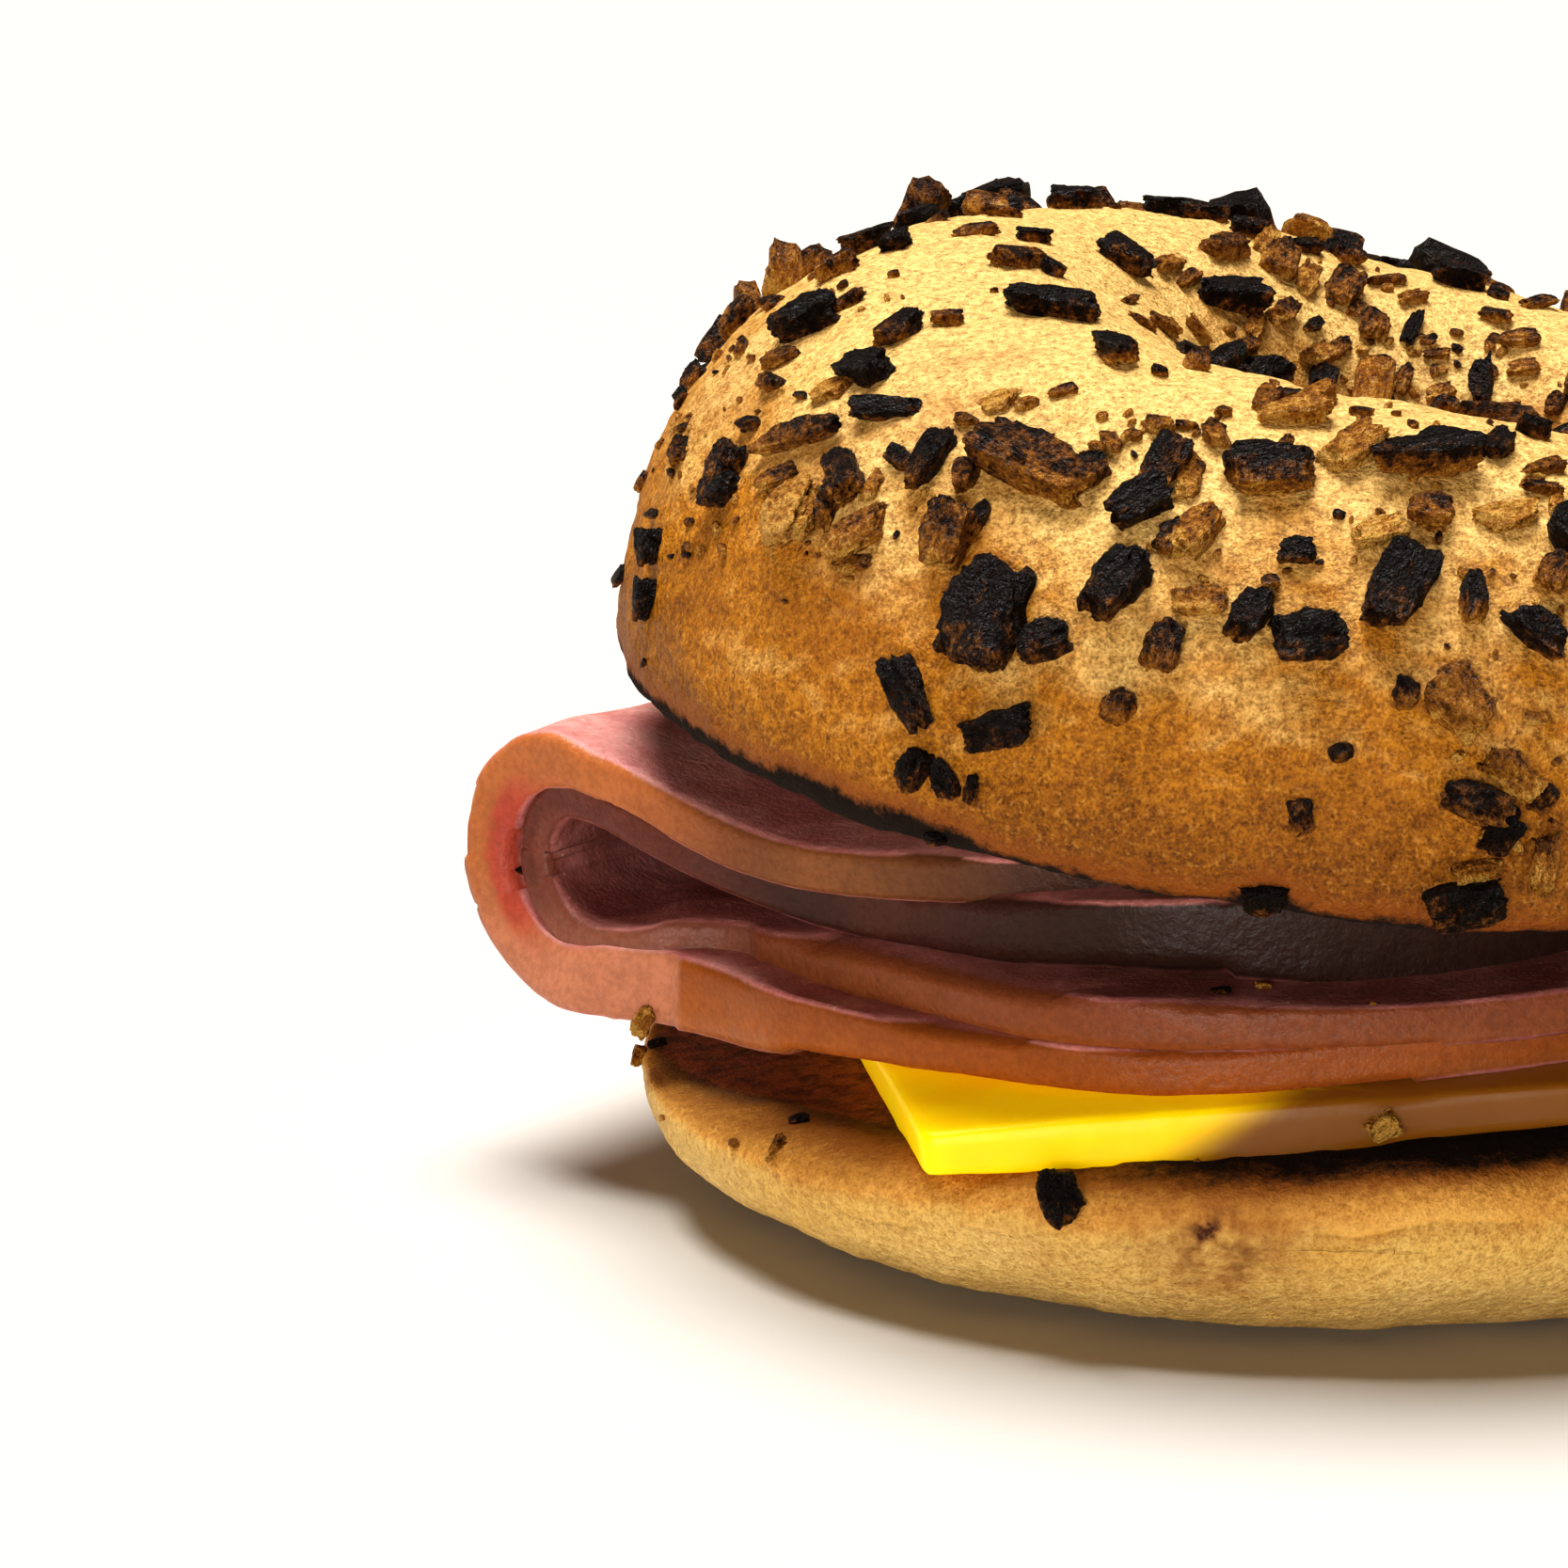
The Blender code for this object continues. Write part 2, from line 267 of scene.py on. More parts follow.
        relief = node(MATH, {0: fine, 1: 0.55, 2: rough}, operation="MULTIPLY_ADD")
        folds = node(MATH, {0: lit_ridge, 1: shaded_groove}, operation="SUBTRACT")
        crests = node(MATH, {0: folds, 1: 0.5, 2: relief}, operation="MULTIPLY_ADD")
        bump = node(BUMP, {"Strength": 1.0, "Distance": self.relief, "Height": crests})
        dull = node(RANGE, {0: black, 3: self.roughness, 4: self.roughness_char})
        skin = node(SKIN, {"Base Color": tone, "Roughness": dull, "Normal": bump, "IOR": 1.45,
                           "Specular IOR Level": 0.25})
        node(SURFACE, {"Surface": skin})
        return made


@dataclass(frozen=True)
class CookedHam:
    """Sliced cooked ham: moist, dusky pink meat that light sinks into, its rim browned by smoke.

    The eye takes it for meat by its soft sheen, its flecks of paler fat, and the rind's brown edge. Shade is
    painted into the rim: on the upper layer, and dimmer towards the right.
    """

    name: str
    meat: str = "d6968c"
    meat_deep: str = "bf7670"
    rind: str = "bd6c2a"
    rind_edge: str = "c2804e"
    rind_dark: str = "94501f"
    fold: str = "b46c3c"
    fold_red: str = "b04c38"
    fold_low: str = "be7c5c"
    # The upper layer's rim colours have the shade of the top half painted in, dimmer towards the right.
    upper: str = "8c5830"
    upper_far_shaded: str = "482c20"
    fat: str = "e8c8ba"
    muscle: float = 6 * MM
    # A muscle's fibres are finer than this, and are drawn as coarse as they need to show.
    fibre: float = 0.5 * MM
    relief: float = 0.16 * MM
    sinks_in: float = 0.6 * MM
    roughness: float = 0.42

    def material(self) -> bpy.types.Material:
        """Builds the ham's shader, whose rim, way across it and parts by the fold come as attributes."""
        made, tree = new_material(self.name)
        node = partial(add_node, tree)
        place = node(PLACE, out="Object")
        rim, across, by_fold, red, low, upper, away = (
            node(READ, out="Fac", attribute_name=name)
            for name in ("rim", "across", "by_fold", "red", "low", "upper", "away")
        )
        muscle, fibre, veined = (
            node(NOISE, {"Vector": place, "Scale": per_size(size), "Detail": detail, "Roughness": roughness})
            for size, detail, roughness in ((self.muscle, 4.0, 0.6), (self.fibre, 3.0, 0.6),
                                            (self.muscle / 3, 4.0, 0.65))
        )
        meat = node(MIX, {0: node(RANGE, {0: muscle, 1: 0.35, 2: 0.65}, **SOFT), 6: colour(self.meat),
                          7: colour(self.meat_deep)}, **COLOURS)
        specks = node(RANGE, {0: fibre, 1: 0.66, 2: 0.74, 3: 0.0, 4: 0.6}, **SOFT)
        meat = node(MIX, {0: specks, 6: meat, 7: colour(self.fat)}, **COLOURS)

        wavy = node(MATH, {0: veined, 1: 0.5, 2: across}, operation="MULTIPLY_ADD")
        rind = node(RAMP, {0: node(MATH, {0: wavy, 1: 0.25}, operation="SUBTRACT")},
                    [(0.0, self.rind_edge), (0.3, self.rind), (0.9, self.rind_dark)])
        stained = node(RANGE, {0: muscle, 1: 0.45, 2: 0.7, 3: 0.0, 4: 0.6}, **SOFT)
        # The rind darkens at random, as smoke stains it, and by the away attribute: painted shade towards
        # the right, and a darkening next to the kink.
        for share in (stained, node(MATH, {0: away, 1: 0.55}, operation="MULTIPLY")):
            rind = node(MIX, {0: share, 6: rind, 7: colour(self.rind_dark)}, **COLOURS)
        # Painted shade: the upper layer's rim takes the shaded colours, dimmer towards the right.
        above = node(MIX, {0: away, 6: colour(self.upper), 7: colour(self.upper_far_shaded)}, **COLOURS)
        rind = node(MIX, {0: upper, 6: rind, 7: above}, **COLOURS)
        inner = node(RANGE, {0: wavy, 1: 0.62, 2: 0.95}, **SOFT)
        fold = node(MIX, {0: low, 6: colour(self.fold), 7: colour(self.fold_low)}, **COLOURS)
        fold = node(MIX, {0: node(MATH, {0: inner, 1: red}, operation="MULTIPLY"), 6: fold,
                          7: colour(self.fold_red)}, **COLOURS)
        rind = node(MIX, {0: by_fold, 6: rind, 7: fold}, **COLOURS)
        ragged = node(MATH, {0: veined, 1: 0.3, 2: rim}, operation="MULTIPLY_ADD")
        tone = node(MIX, {0: node(RANGE, {0: ragged, 1: 0.55, 2: 0.85}, **SOFT), 6: meat, 7: rind},
                    **COLOURS)
        shade = node(RAMP, {0: node(MATH, {0: fibre, 1: veined}, operation="MULTIPLY")},
                     [(0.12, "b8a8a0"), (0.34, "ffffff")])
        tone = node(MIX, {0: 0.45, 6: tone, 7: shade}, blend_type="MULTIPLY", **COLOURS)

        relief = node(MATH, {0: veined, 1: 1.4, 2: fibre}, operation="MULTIPLY_ADD")
        bump = node(BUMP, {"Strength": 0.5, "Distance": self.relief, "Height": relief})
        skin = node(SKIN, {"Base Color": tone, "Roughness": self.roughness, "Normal": bump, "IOR": 1.4,
                           "Subsurface Weight": 0.25, "Subsurface Radius": (1.6, 0.7, 0.5),
                           "Subsurface Scale": self.sinks_in, "Specular IOR Level": 0.3})
        node(SURFACE, {"Surface": skin})
        return made


@dataclass(frozen=True)
class ProcessedCheese:
    """Processed cheese slice: smooth, even, saturated yellow with a soft gloss, and light that sinks in.

    The eye takes it for cheese by its glow, even where it is in shade, with no grain at all. Part of that
    glow is painted light of its own, and part of its front has a painted shadow.
    """

    name: str = "Processed cheese"
    body: str = "ffd400"
    deep: str = "ffc600"
    # The colour of the painted shadow on the front of the slice.
    stain: str = "66340c"
    waves: float = 7 * MM
    # The pores are finer than this, and are drawn as coarse as they need to show.
    pores: float = 1.0 * MM
    relief: float = 0.12 * MM
    sinks_in: float = 2.2 * MM
    roughness: float = 0.4
    # How strongly the slice glows with painted light of its own.
    through: float = 0.32

    def material(self) -> bpy.types.Material:
        """Builds the cheese's shader. Its slight own light is a painted glow that stands for what comes
        through the slice.
        """
        made, tree = new_material(self.name)
        node = partial(add_node, tree)
        place = node(PLACE, out="Object")
        broad = node(NOISE, {"Vector": place, "Scale": per_size(self.waves), "Detail": 3.0})
        fine = node(NOISE, {"Vector": place, "Scale": per_size(self.pores), "Detail": 3.0})
        tone = node(RAMP, {0: broad}, [(0.35, self.body), (0.7, self.deep)])
        # Painted shadow: part of the front is dimmed towards the shadow colour.
        stained = node(READ, out="Fac", attribute_name="stained")
        tone = node(MIX, {0: node(MATH, {0: stained, 1: 0.96}, operation="MULTIPLY"), 6: tone,
                          7: colour(self.stain)}, **COLOURS)
        bump = node(BUMP, {"Strength": 0.25, "Distance": self.relief, "Height": fine})
        # Painted glow: the slice gives off light in its own colour, painted shadow included.
        skin = node(SKIN, {"Base Color": tone, "Roughness": self.roughness, "Normal": bump, "IOR": 1.45,
                           "Subsurface Weight": 0.5, "Subsurface Radius": (3.0, 2.4, 0.2),
                           "Subsurface Scale": self.sinks_in, "Specular IOR Level": 0.3,
                           "Emission Color": tone, "Emission Strength": self.through})
        node(SURFACE, {"Surface": skin})
        return made


# Operators


def pick(*objects: bpy.types.Object) -> None:
    """Selects these objects only, with the first one active."""
    if bpy.context.mode != "OBJECT":
        bpy.ops.object.mode_set(mode="OBJECT")
    bpy.ops.object.select_all(action="DESELECT")
    for item in objects:
        item.select_set(True)
    bpy.context.view_layer.objects.active = objects[0]


def apply_modifier(piece: bpy.types.Object, kind: str, **settings) -> None:
    """Adds one modifier to a piece and applies it.

    Args:
        piece: The mesh object.
        kind: The modifier's type.
        **settings: The modifier's own properties.
    """
    modifier = piece.modifiers.new(kind.title(), kind)
    for name, value in settings.items():
        setattr(modifier, name, value)
    pick(piece)
    bpy.ops.object.modifier_apply(modifier=modifier.name)


def roughen(piece: bpy.types.Object, name: str, size: float, height: float, group: str = "") -> None:
    """Moves a piece's skin in and out by a cloudy pattern.

    Args:
        piece: The mesh object.
        name: The pattern's name.
        size: How large its lumps are.
        height: How far apart its highs and lows are.
        group: The vertex group that it is limited to, if any.
    """
    clouds = bpy.data.textures.new(name, "CLOUDS")
    clouds.noise_scale = size
    clouds.noise_depth = 2
    apply_modifier(piece, "DISPLACE", texture=clouds, texture_coords="LOCAL", strength=height, mid_level=0.5,
                   vertex_group=group)


def to_quads(piece: bpy.types.Object) -> None:
    """Joins a piece's triangles into quads, and leaves nothing of it selected."""
    pick(piece)
    bpy.ops.object.mode_set(mode="EDIT")
    bpy.ops.mesh.select_all(action="SELECT")
    bpy.ops.mesh.tris_convert_to_quads(face_threshold=QUAD_TURN, shape_threshold=QUAD_SKEW)
    bpy.ops.mesh.select_all(action="DESELECT")
    bpy.ops.object.mode_set(mode="OBJECT")


def crease_edges(piece: bpy.types.Object, turn: float, crease: float) -> None:
    """Joins a piece's triangles into quads, and creases its edges where its faces turn sharply.

    Args:
        piece: The merged copy of a node.
        turn: The least angle in degrees between the faces of a creased edge.
        crease: How sharp it stays, up to 1.
    """
    to_quads(piece)
    mesh = piece.data
    normals: dict = {}
    for face in mesh.polygons:
        for key in face.edge_keys:
            normals.setdefault(key, []).append(face.normal)
    limit = math.cos(math.radians(turn))
    sharp = [crease if len(normals[e.key]) > 1 and normals[e.key][0].dot(normals[e.key][1]) < limit else 0.0
             for e in mesh.edges]
    mesh.attributes.new("crease_edge", "FLOAT", "EDGE").data.foreach_set("value", sharp)


def vertex_places(piece: bpy.types.Object) -> np.ndarray:
    """The piece's vertices, one row each."""
    places = np.empty(len(piece.data.vertices) * 3, np.float32)
    piece.data.vertices.foreach_get("co", places)
    return places.reshape(-1, 3).astype(float)


def vertex_normals(piece: bpy.types.Object) -> np.ndarray:
    """The piece's vertex normals, one row each."""
    normals = np.empty(len(piece.data.vertices) * 3, np.float32)
    piece.data.vertex_normals.foreach_get("vector", normals)
    return normals.reshape(-1, 3).astype(float)


def move_vertices(piece: bpy.types.Object, places: np.ndarray) -> None:
    """Puts the piece's vertices at these places, one row each."""
    piece.data.vertices.foreach_set("co", places.astype(np.float32).ravel())
    piece.data.update()


def set_group(piece: bpy.types.Object, name: str, weights: np.ndarray) -> None:
    """Makes a vertex group, with one weight for each vertex."""
    group = piece.vertex_groups.new(name=name)
    for number, weight in enumerate(weights):
        group.add([number], float(weight), "REPLACE")


def set_attribute(piece: bpy.types.Object, name: str, values: np.ndarray) -> None:
    """Stores one number for each vertex under this name."""
    attribute = piece.data.attributes.new(name, "FLOAT", "POINT")
    attribute.data.foreach_set("value", values.astype(np.float32))


def smooth_step(values: np.ndarray, low: float, high: float) -> np.ndarray:
    """Goes smoothly from 0 at low to 1 at high."""
    share = np.clip((values - low) / (high - low), 0, 1)
    return share * share * (3 - 2 * share)


def gaps_to(places: np.ndarray, ends: list[int] | np.ndarray, wanted: np.ndarray) -> np.ndarray:
    """Measures how far each wanted place is from the nearest one of some of them.

    Args:
        places: One place a row.
        ends: The numbers of the places that are measured to.
        wanted: For each place, whether it is measured.

    Returns:
        One distance for each place, and 0 where it isn't wanted.
    """
    tree = kdtree.KDTree(max(len(ends), 1))
    for number in ends:
        tree.insert(Vector(places[number]), int(number))
    tree.balance()
    found = (tree.find(Vector(place))[2] if want else None for place, want in zip(places, wanted))
    return np.array([gap or 0.0 for gap in found])


def skin_of(node: str, name: str) -> bpy.types.Object:
    """Copies a node of the frame and merges its loose triangles into one closed skin.

    Args:
        node: The node's name.
        name: The new piece's name.

    Returns:
        The new piece, with no material.
    """
    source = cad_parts[node]
    piece = bpy.data.objects.new(name, source.data.copy())
    piece.data.name = name
    piece.data.materials.clear()
    bpy.context.scene.collection.objects.link(piece)
    pick(piece)
    bpy.ops.object.mode_set(mode="EDIT")
    bpy.ops.mesh.select_all(action="SELECT")
    bpy.ops.mesh.remove_doubles(threshold=0.01 * MM)
    bpy.ops.object.mode_set(mode="OBJECT")
    return piece


def finish_piece(piece: bpy.types.Object, finish: bpy.types.Material, slot: str, *nodes: str) -> None:
    """Dresses a piece, and ties it to the frame.

    Args:
        piece: The finished mesh.
        finish: Its material.
        slot: Not used.
        *nodes: The nodes that it stands for.
    """
    piece.data.materials.clear()
    piece.data.materials.append(finish)
    pick(piece)
    bpy.ops.object.shade_smooth()
    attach(piece, BODY)
    if nodes:
        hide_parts(*nodes)
    LOG.info("%s: %d triangles", piece.name, sum(len(p.vertices) - 2 for p in piece.data.polygons))


# The photograph's view


@dataclass
class PhotoView:
    """The camera, at the photograph's place, and where its pixels meet the sandwich."""

    place: Vector = field(default_factory=lambda: Vector((5.5 * MM, -300.19 * MM, 85.7 * MM)))
    yaw: float = 7.3
    pitch: float = 11.0
    lens: float = 98.6
    sensor: float = 36.0
    nearest: float = 10 * MM
    farthest: float = 100.0

    def build(self) -> bpy.types.Object:
        """Makes the camera and sets it as the scene's."""
        data = bpy.data.cameras.new("camera")
        data.lens = self.lens
        data.sensor_width = self.sensor
        data.clip_start = self.nearest
        data.clip_end = self.farthest
        made = bpy.data.objects.new("camera", data)
        bpy.context.scene.collection.objects.link(made)
        made.matrix_world = self.matrix()
        bpy.context.scene.camera = made
        return made

    def matrix(self) -> Matrix:
        """The camera's place and turn."""
        turn = Matrix.Rotation(math.radians(self.yaw), 4, "Z")
        tilt = Matrix.Rotation(math.radians(90 - self.pitch), 4, "X")
        return Matrix.Translation(self.place) @ turn @ tilt

    def focal(self) -> float:
        """The focal length in the photograph's pixels."""
        return self.lens / self.sensor * PHOTO_SIDE

    def ray(self, u: float, v: float) -> Vector:
        """The direction through a pixel of the photograph."""
        aim = Vector((u - PHOTO_SIDE / 2, PHOTO_SIDE / 2 - v, -self.focal()))
        return (self.matrix().to_3x3() @ aim).normalized()

    def pixels(self, places: np.ndarray) -> tuple[np.ndarray, np.ndarray]:
        """The photograph's column and row of each place, one place a row."""
        local = (places - np.array(self.place)) @ np.array(self.matrix().to_3x3())
        scale = self.focal() / -local[:, 2]
        return PHOTO_SIDE / 2 + local[:, 0] * scale, PHOTO_SIDE / 2 - local[:, 1] * scale

    def spot(self, pieces: list[bpy.types.Object], u: float, v: float) -> tuple[Vector, Vector] | None:
        """Where the ray through a pixel first meets one of the pieces.

        Args:
            pieces: Meshes whose place is in their vertices.
            u: The pixel's column, from the left.
            v: The pixel's row, from the top.

        Returns:
            The point and the surface's normal there, or None where the ray misses.
        """
        cast = [piece.ray_cast(self.place, self.ray(u, v)) for piece in pieces]
        hits = [(point, normal) for hit, point, normal, _ in cast if hit]
        return min(hits, key=lambda found: (found[0] - self.place).length) if hits else None


# Bread


@dataclass
class ScorchAndShadePatch:
    """A dark patch on the crust, placed by a pixel of the photograph: mostly browned crust, and in one place
    painted shade.
    """

    u: float
    v: float
    reach: float
    strength: float = 1.0


@dataclass
class Wrinkle:
    """A long wrinkle in the crust, along pixels of the photograph."""

    points: list[tuple[float, float]]
    strength: float = 1.0
    spacing: float = 3.0
    fade: float = 5.0

    def path(self, view: PhotoView, piece: bpy.types.Object) -> list[Vector]:
        """Follows the wrinkle on the crust.

        Args:
            view: Finds where each pixel lies.
            piece: The half of the bagel.

        Returns:
            Points on the crust, close together.
        """
        found = []
        for (u0, v0), (u1, v1) in zip(self.points, self.points[1:]):
            count = max(int(math.hypot(u1 - u0, v1 - v0) / self.spacing), 1)
            for number in range(count):
                share = number / count
                found.append(view.spot([piece], u0 + (u1 - u0) * share, v0 + (v1 - v0) * share))
        return [spot[0] for spot in found if spot]


@dataclass
class BagelHalf:
    """One half of the bagel: its crust, its charred rim and its toasted cut face."""

    node: str
    crust: ToastedCrust
    charred: list[tuple[float, float]]
    scorches_and_shade: list[ScorchAndShadePatch] = field(default_factory=list)
    wrinkles: list[Wrinkle] = field(default_factory=list)
    voxel: float = 0.55 * MM
    rim_turn: float = 40.0
    fold_reach: float = 2.4 * MM
    left_from: float = -24 * MM
    left_width: float = 18 * MM
    left_less: float = 0.2
    cut_facing: tuple = (0.75, 0.95)
    cut_depth: tuple = (0.2 * MM, 0.45 * MM)
    base_height: tuple = (0.3 * MM, 1.5 * MM)
    shown_facing: tuple = (-0.1, 0.2)
    photo_fade: float = 100.0
    char_inwards: float = 0.4
    waves: tuple = ((17 * MM, 1.6 * MM), (6 * MM, 0.55 * MM), (2.2 * MM, 0.24 * MM), (1.1 * MM, 0.18 * MM))

    def cut_plane(self) -> tuple[Vector, Vector]:
        """Finds the cut face: the largest set of the node's faces that share a normal.

        Returns:
            A point on the cut face and its outward normal.
        """
        sums: dict[tuple, list] = {}
        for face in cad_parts[self.node].data.polygons:
            if abs(face.normal.z) > 0.9 and face.center.z > 1 * MM:
                entry = sums.setdefault(tuple(round(n, 2) for n in face.normal), [0.0, Vector(), Vector()])
                entry[0] += face.area
                entry[1] += face.center * face.area
                entry[2] += face.normal * face.area
        area, centre, normal = max(sums.values(), key=lambda entry: entry[0])
        return centre / area, normal.normalized()

    def build(self, view: PhotoView) -> bpy.types.Object:
        """Builds the half.

        Args:
            view: Places the browned patches, one of them painted shade, and the wrinkles.

        Returns:
            The finished piece.
        """
        point, normal = self.cut_plane()
        piece = skin_of(self.node, self.node + "_bread")
        crease_edges(piece, self.rim_turn, 1.0)
        apply_modifier(piece, "SUBSURF", levels=2, render_levels=2)
        apply_modifier(piece, "REMESH", mode="VOXEL", voxel_size=self.voxel)
        apply_modifier(piece, "SMOOTH", factor=0.5, iterations=4)
        depth = (vertex_places(piece) - np.array(point)) @ -np.array(normal)
        facing = vertex_normals(piece) @ np.array(normal)
        on_cut = smooth_step(facing, *self.cut_facing) * (1 - smooth_step(depth, *self.cut_depth))
        base = 1 - smooth_step(vertex_places(piece)[:, 2], *self.base_height)
        self.swell(piece, (1 - on_cut) * (1 - base))
        charred = self.rim_depth(piece, view)
        past_left = self.left_from - vertex_places(piece)[:, 0]
        to_left = smooth_step(past_left, 0, self.left_width)
        set_attribute(piece, "under_rim", depth - charred)
        set_attribute(piece, "on_cut", on_cut)
        # Painted light: how far the crust faces up, shifted at the left side, sets how pale its tone is.
        set_attribute(piece, "upward", vertex_normals(piece)[:, 2] - self.left_less * to_left)
        set_attribute(piece, "scorch", self.scorching_and_shading(piece, view))
        self.wrinkling(piece, view)
        inward = self.inward(piece, on_cut) - self.char_inwards * np.maximum(charred, 0)
        set_attribute(piece, "inward", inward)
        finish_piece(piece, self.crust.material(), "toasted_crust", self.node)
        return piece

    def rim_depth(self, piece: bpy.types.Object, view: PhotoView) -> np.ndarray:
        """How deep the charred rim reaches at each vertex: as the photograph shows, or else its mean.

        Args:
            piece: The half.
            view: Finds each vertex's column.

        Returns:
            One depth for each vertex, in metres.
        """
        columns, depths = zip(*self.charred)
        places = vertex_places(piece)
        ray = places - np.array(view.place)
        towards = -(ray * vertex_normals(piece)).sum(axis=1) / np.linalg.norm(ray, axis=1)
        u, _ = view.pixels(places)
        shown = smooth_step(towards, *self.shown_facing)
        shown *= 1 - smooth_step(u, PHOTO_SIDE, PHOTO_SIDE + self.photo_fade)
        depth = shown * np.interp(u, columns, depths) + (1 - shown) * np.mean(depths)
        return depth * MM

    def swell(self, piece: bpy.types.Object, free: np.ndarray) -> None:
        """Gives the crust its waves, lumps and pebbles where it is free.

        Args:
            piece: The remeshed half.
            free: For each vertex, how far the crust may move: 0 on the cut and the base, 1 elsewhere.
        """
        set_group(piece, "free", free)
        for size, height in self.waves:
            roughen(piece, "crust_waves", size, height, "free")
        piece.vertex_groups.clear()

    def wrinkling(self, piece: bpy.types.Object, view: PhotoView) -> None:
        """Stores for each vertex how far above the nearest wrinkle it is, and how strong that wrinkle is.

        Args:
            piece: The half.
            view: Finds where each wrinkle lies.
        """
        places = vertex_places(piece)
        nearest = np.full(len(places), self.fold_reach)
        above, strength = np.zeros(len(places)), np.zeros(len(places))
        for wrinkle in self.wrinkles:
            path = wrinkle.path(view, piece)
            for number, point in enumerate(path):
                gap = places - np.array(point)
                far = np.linalg.norm(gap, axis=1)
                closer = far < nearest
                nearest[closer] = far[closer]
                above[closer] = (far * np.sign(gap[:, 2]))[closer]
                share = number / max(len(path) - 1, 1)
                from_end = wrinkle.fade * min(share, 1 - share)
                strength[closer] = wrinkle.strength * min(1, from_end)
        strength *= 1 - smooth_step(nearest, self.fold_reach / 2, self.fold_reach)
        set_attribute(piece, "over_fold", above)
        set_attribute(piece, "folded", strength)

    def inward(self, piece: bpy.types.Object, on_cut: np.ndarray) -> np.ndarray:
        """How far each vertex of the cut face is from the cut's rim, and 0 elsewhere.

        Args:
            piece: The half.
            on_cut: For each vertex, how much it belongs to the cut face.

        Returns:
            One distance for each vertex.
        """
        rim = np.flatnonzero((on_cut > 0.25) & (on_cut < 0.75))
        return gaps_to(vertex_places(piece), rim, on_cut > 0.5)

    def scorching_and_shading(self, piece: bpy.types.Object, view: PhotoView) -> np.ndarray:
        """How dark each vertex is from the patches: browned ones, and one of painted shade.

        Args:
            piece: The half.
            view: Finds where each patch lies.

        Returns:
            One number for each vertex, 0 to 1.
        """
        places = vertex_places(piece)
        total = np.zeros(len(places))
        for patch in self.scorches_and_shade:
            found = view.spot([piece], patch.u, patch.v)
            if found:
                gap = np.linalg.norm(places - np.array(found[0]), axis=1)
                total = np.maximum(total, patch.strength * np.exp(-((gap / patch.reach) ** 2)))
        return total


# Fillings


@dataclass
class Lift:
    """A soft rise of one layer of a slice, round a place along the sandwich."""

    x: float
    reach: float
    height: float
    upper: bool = False


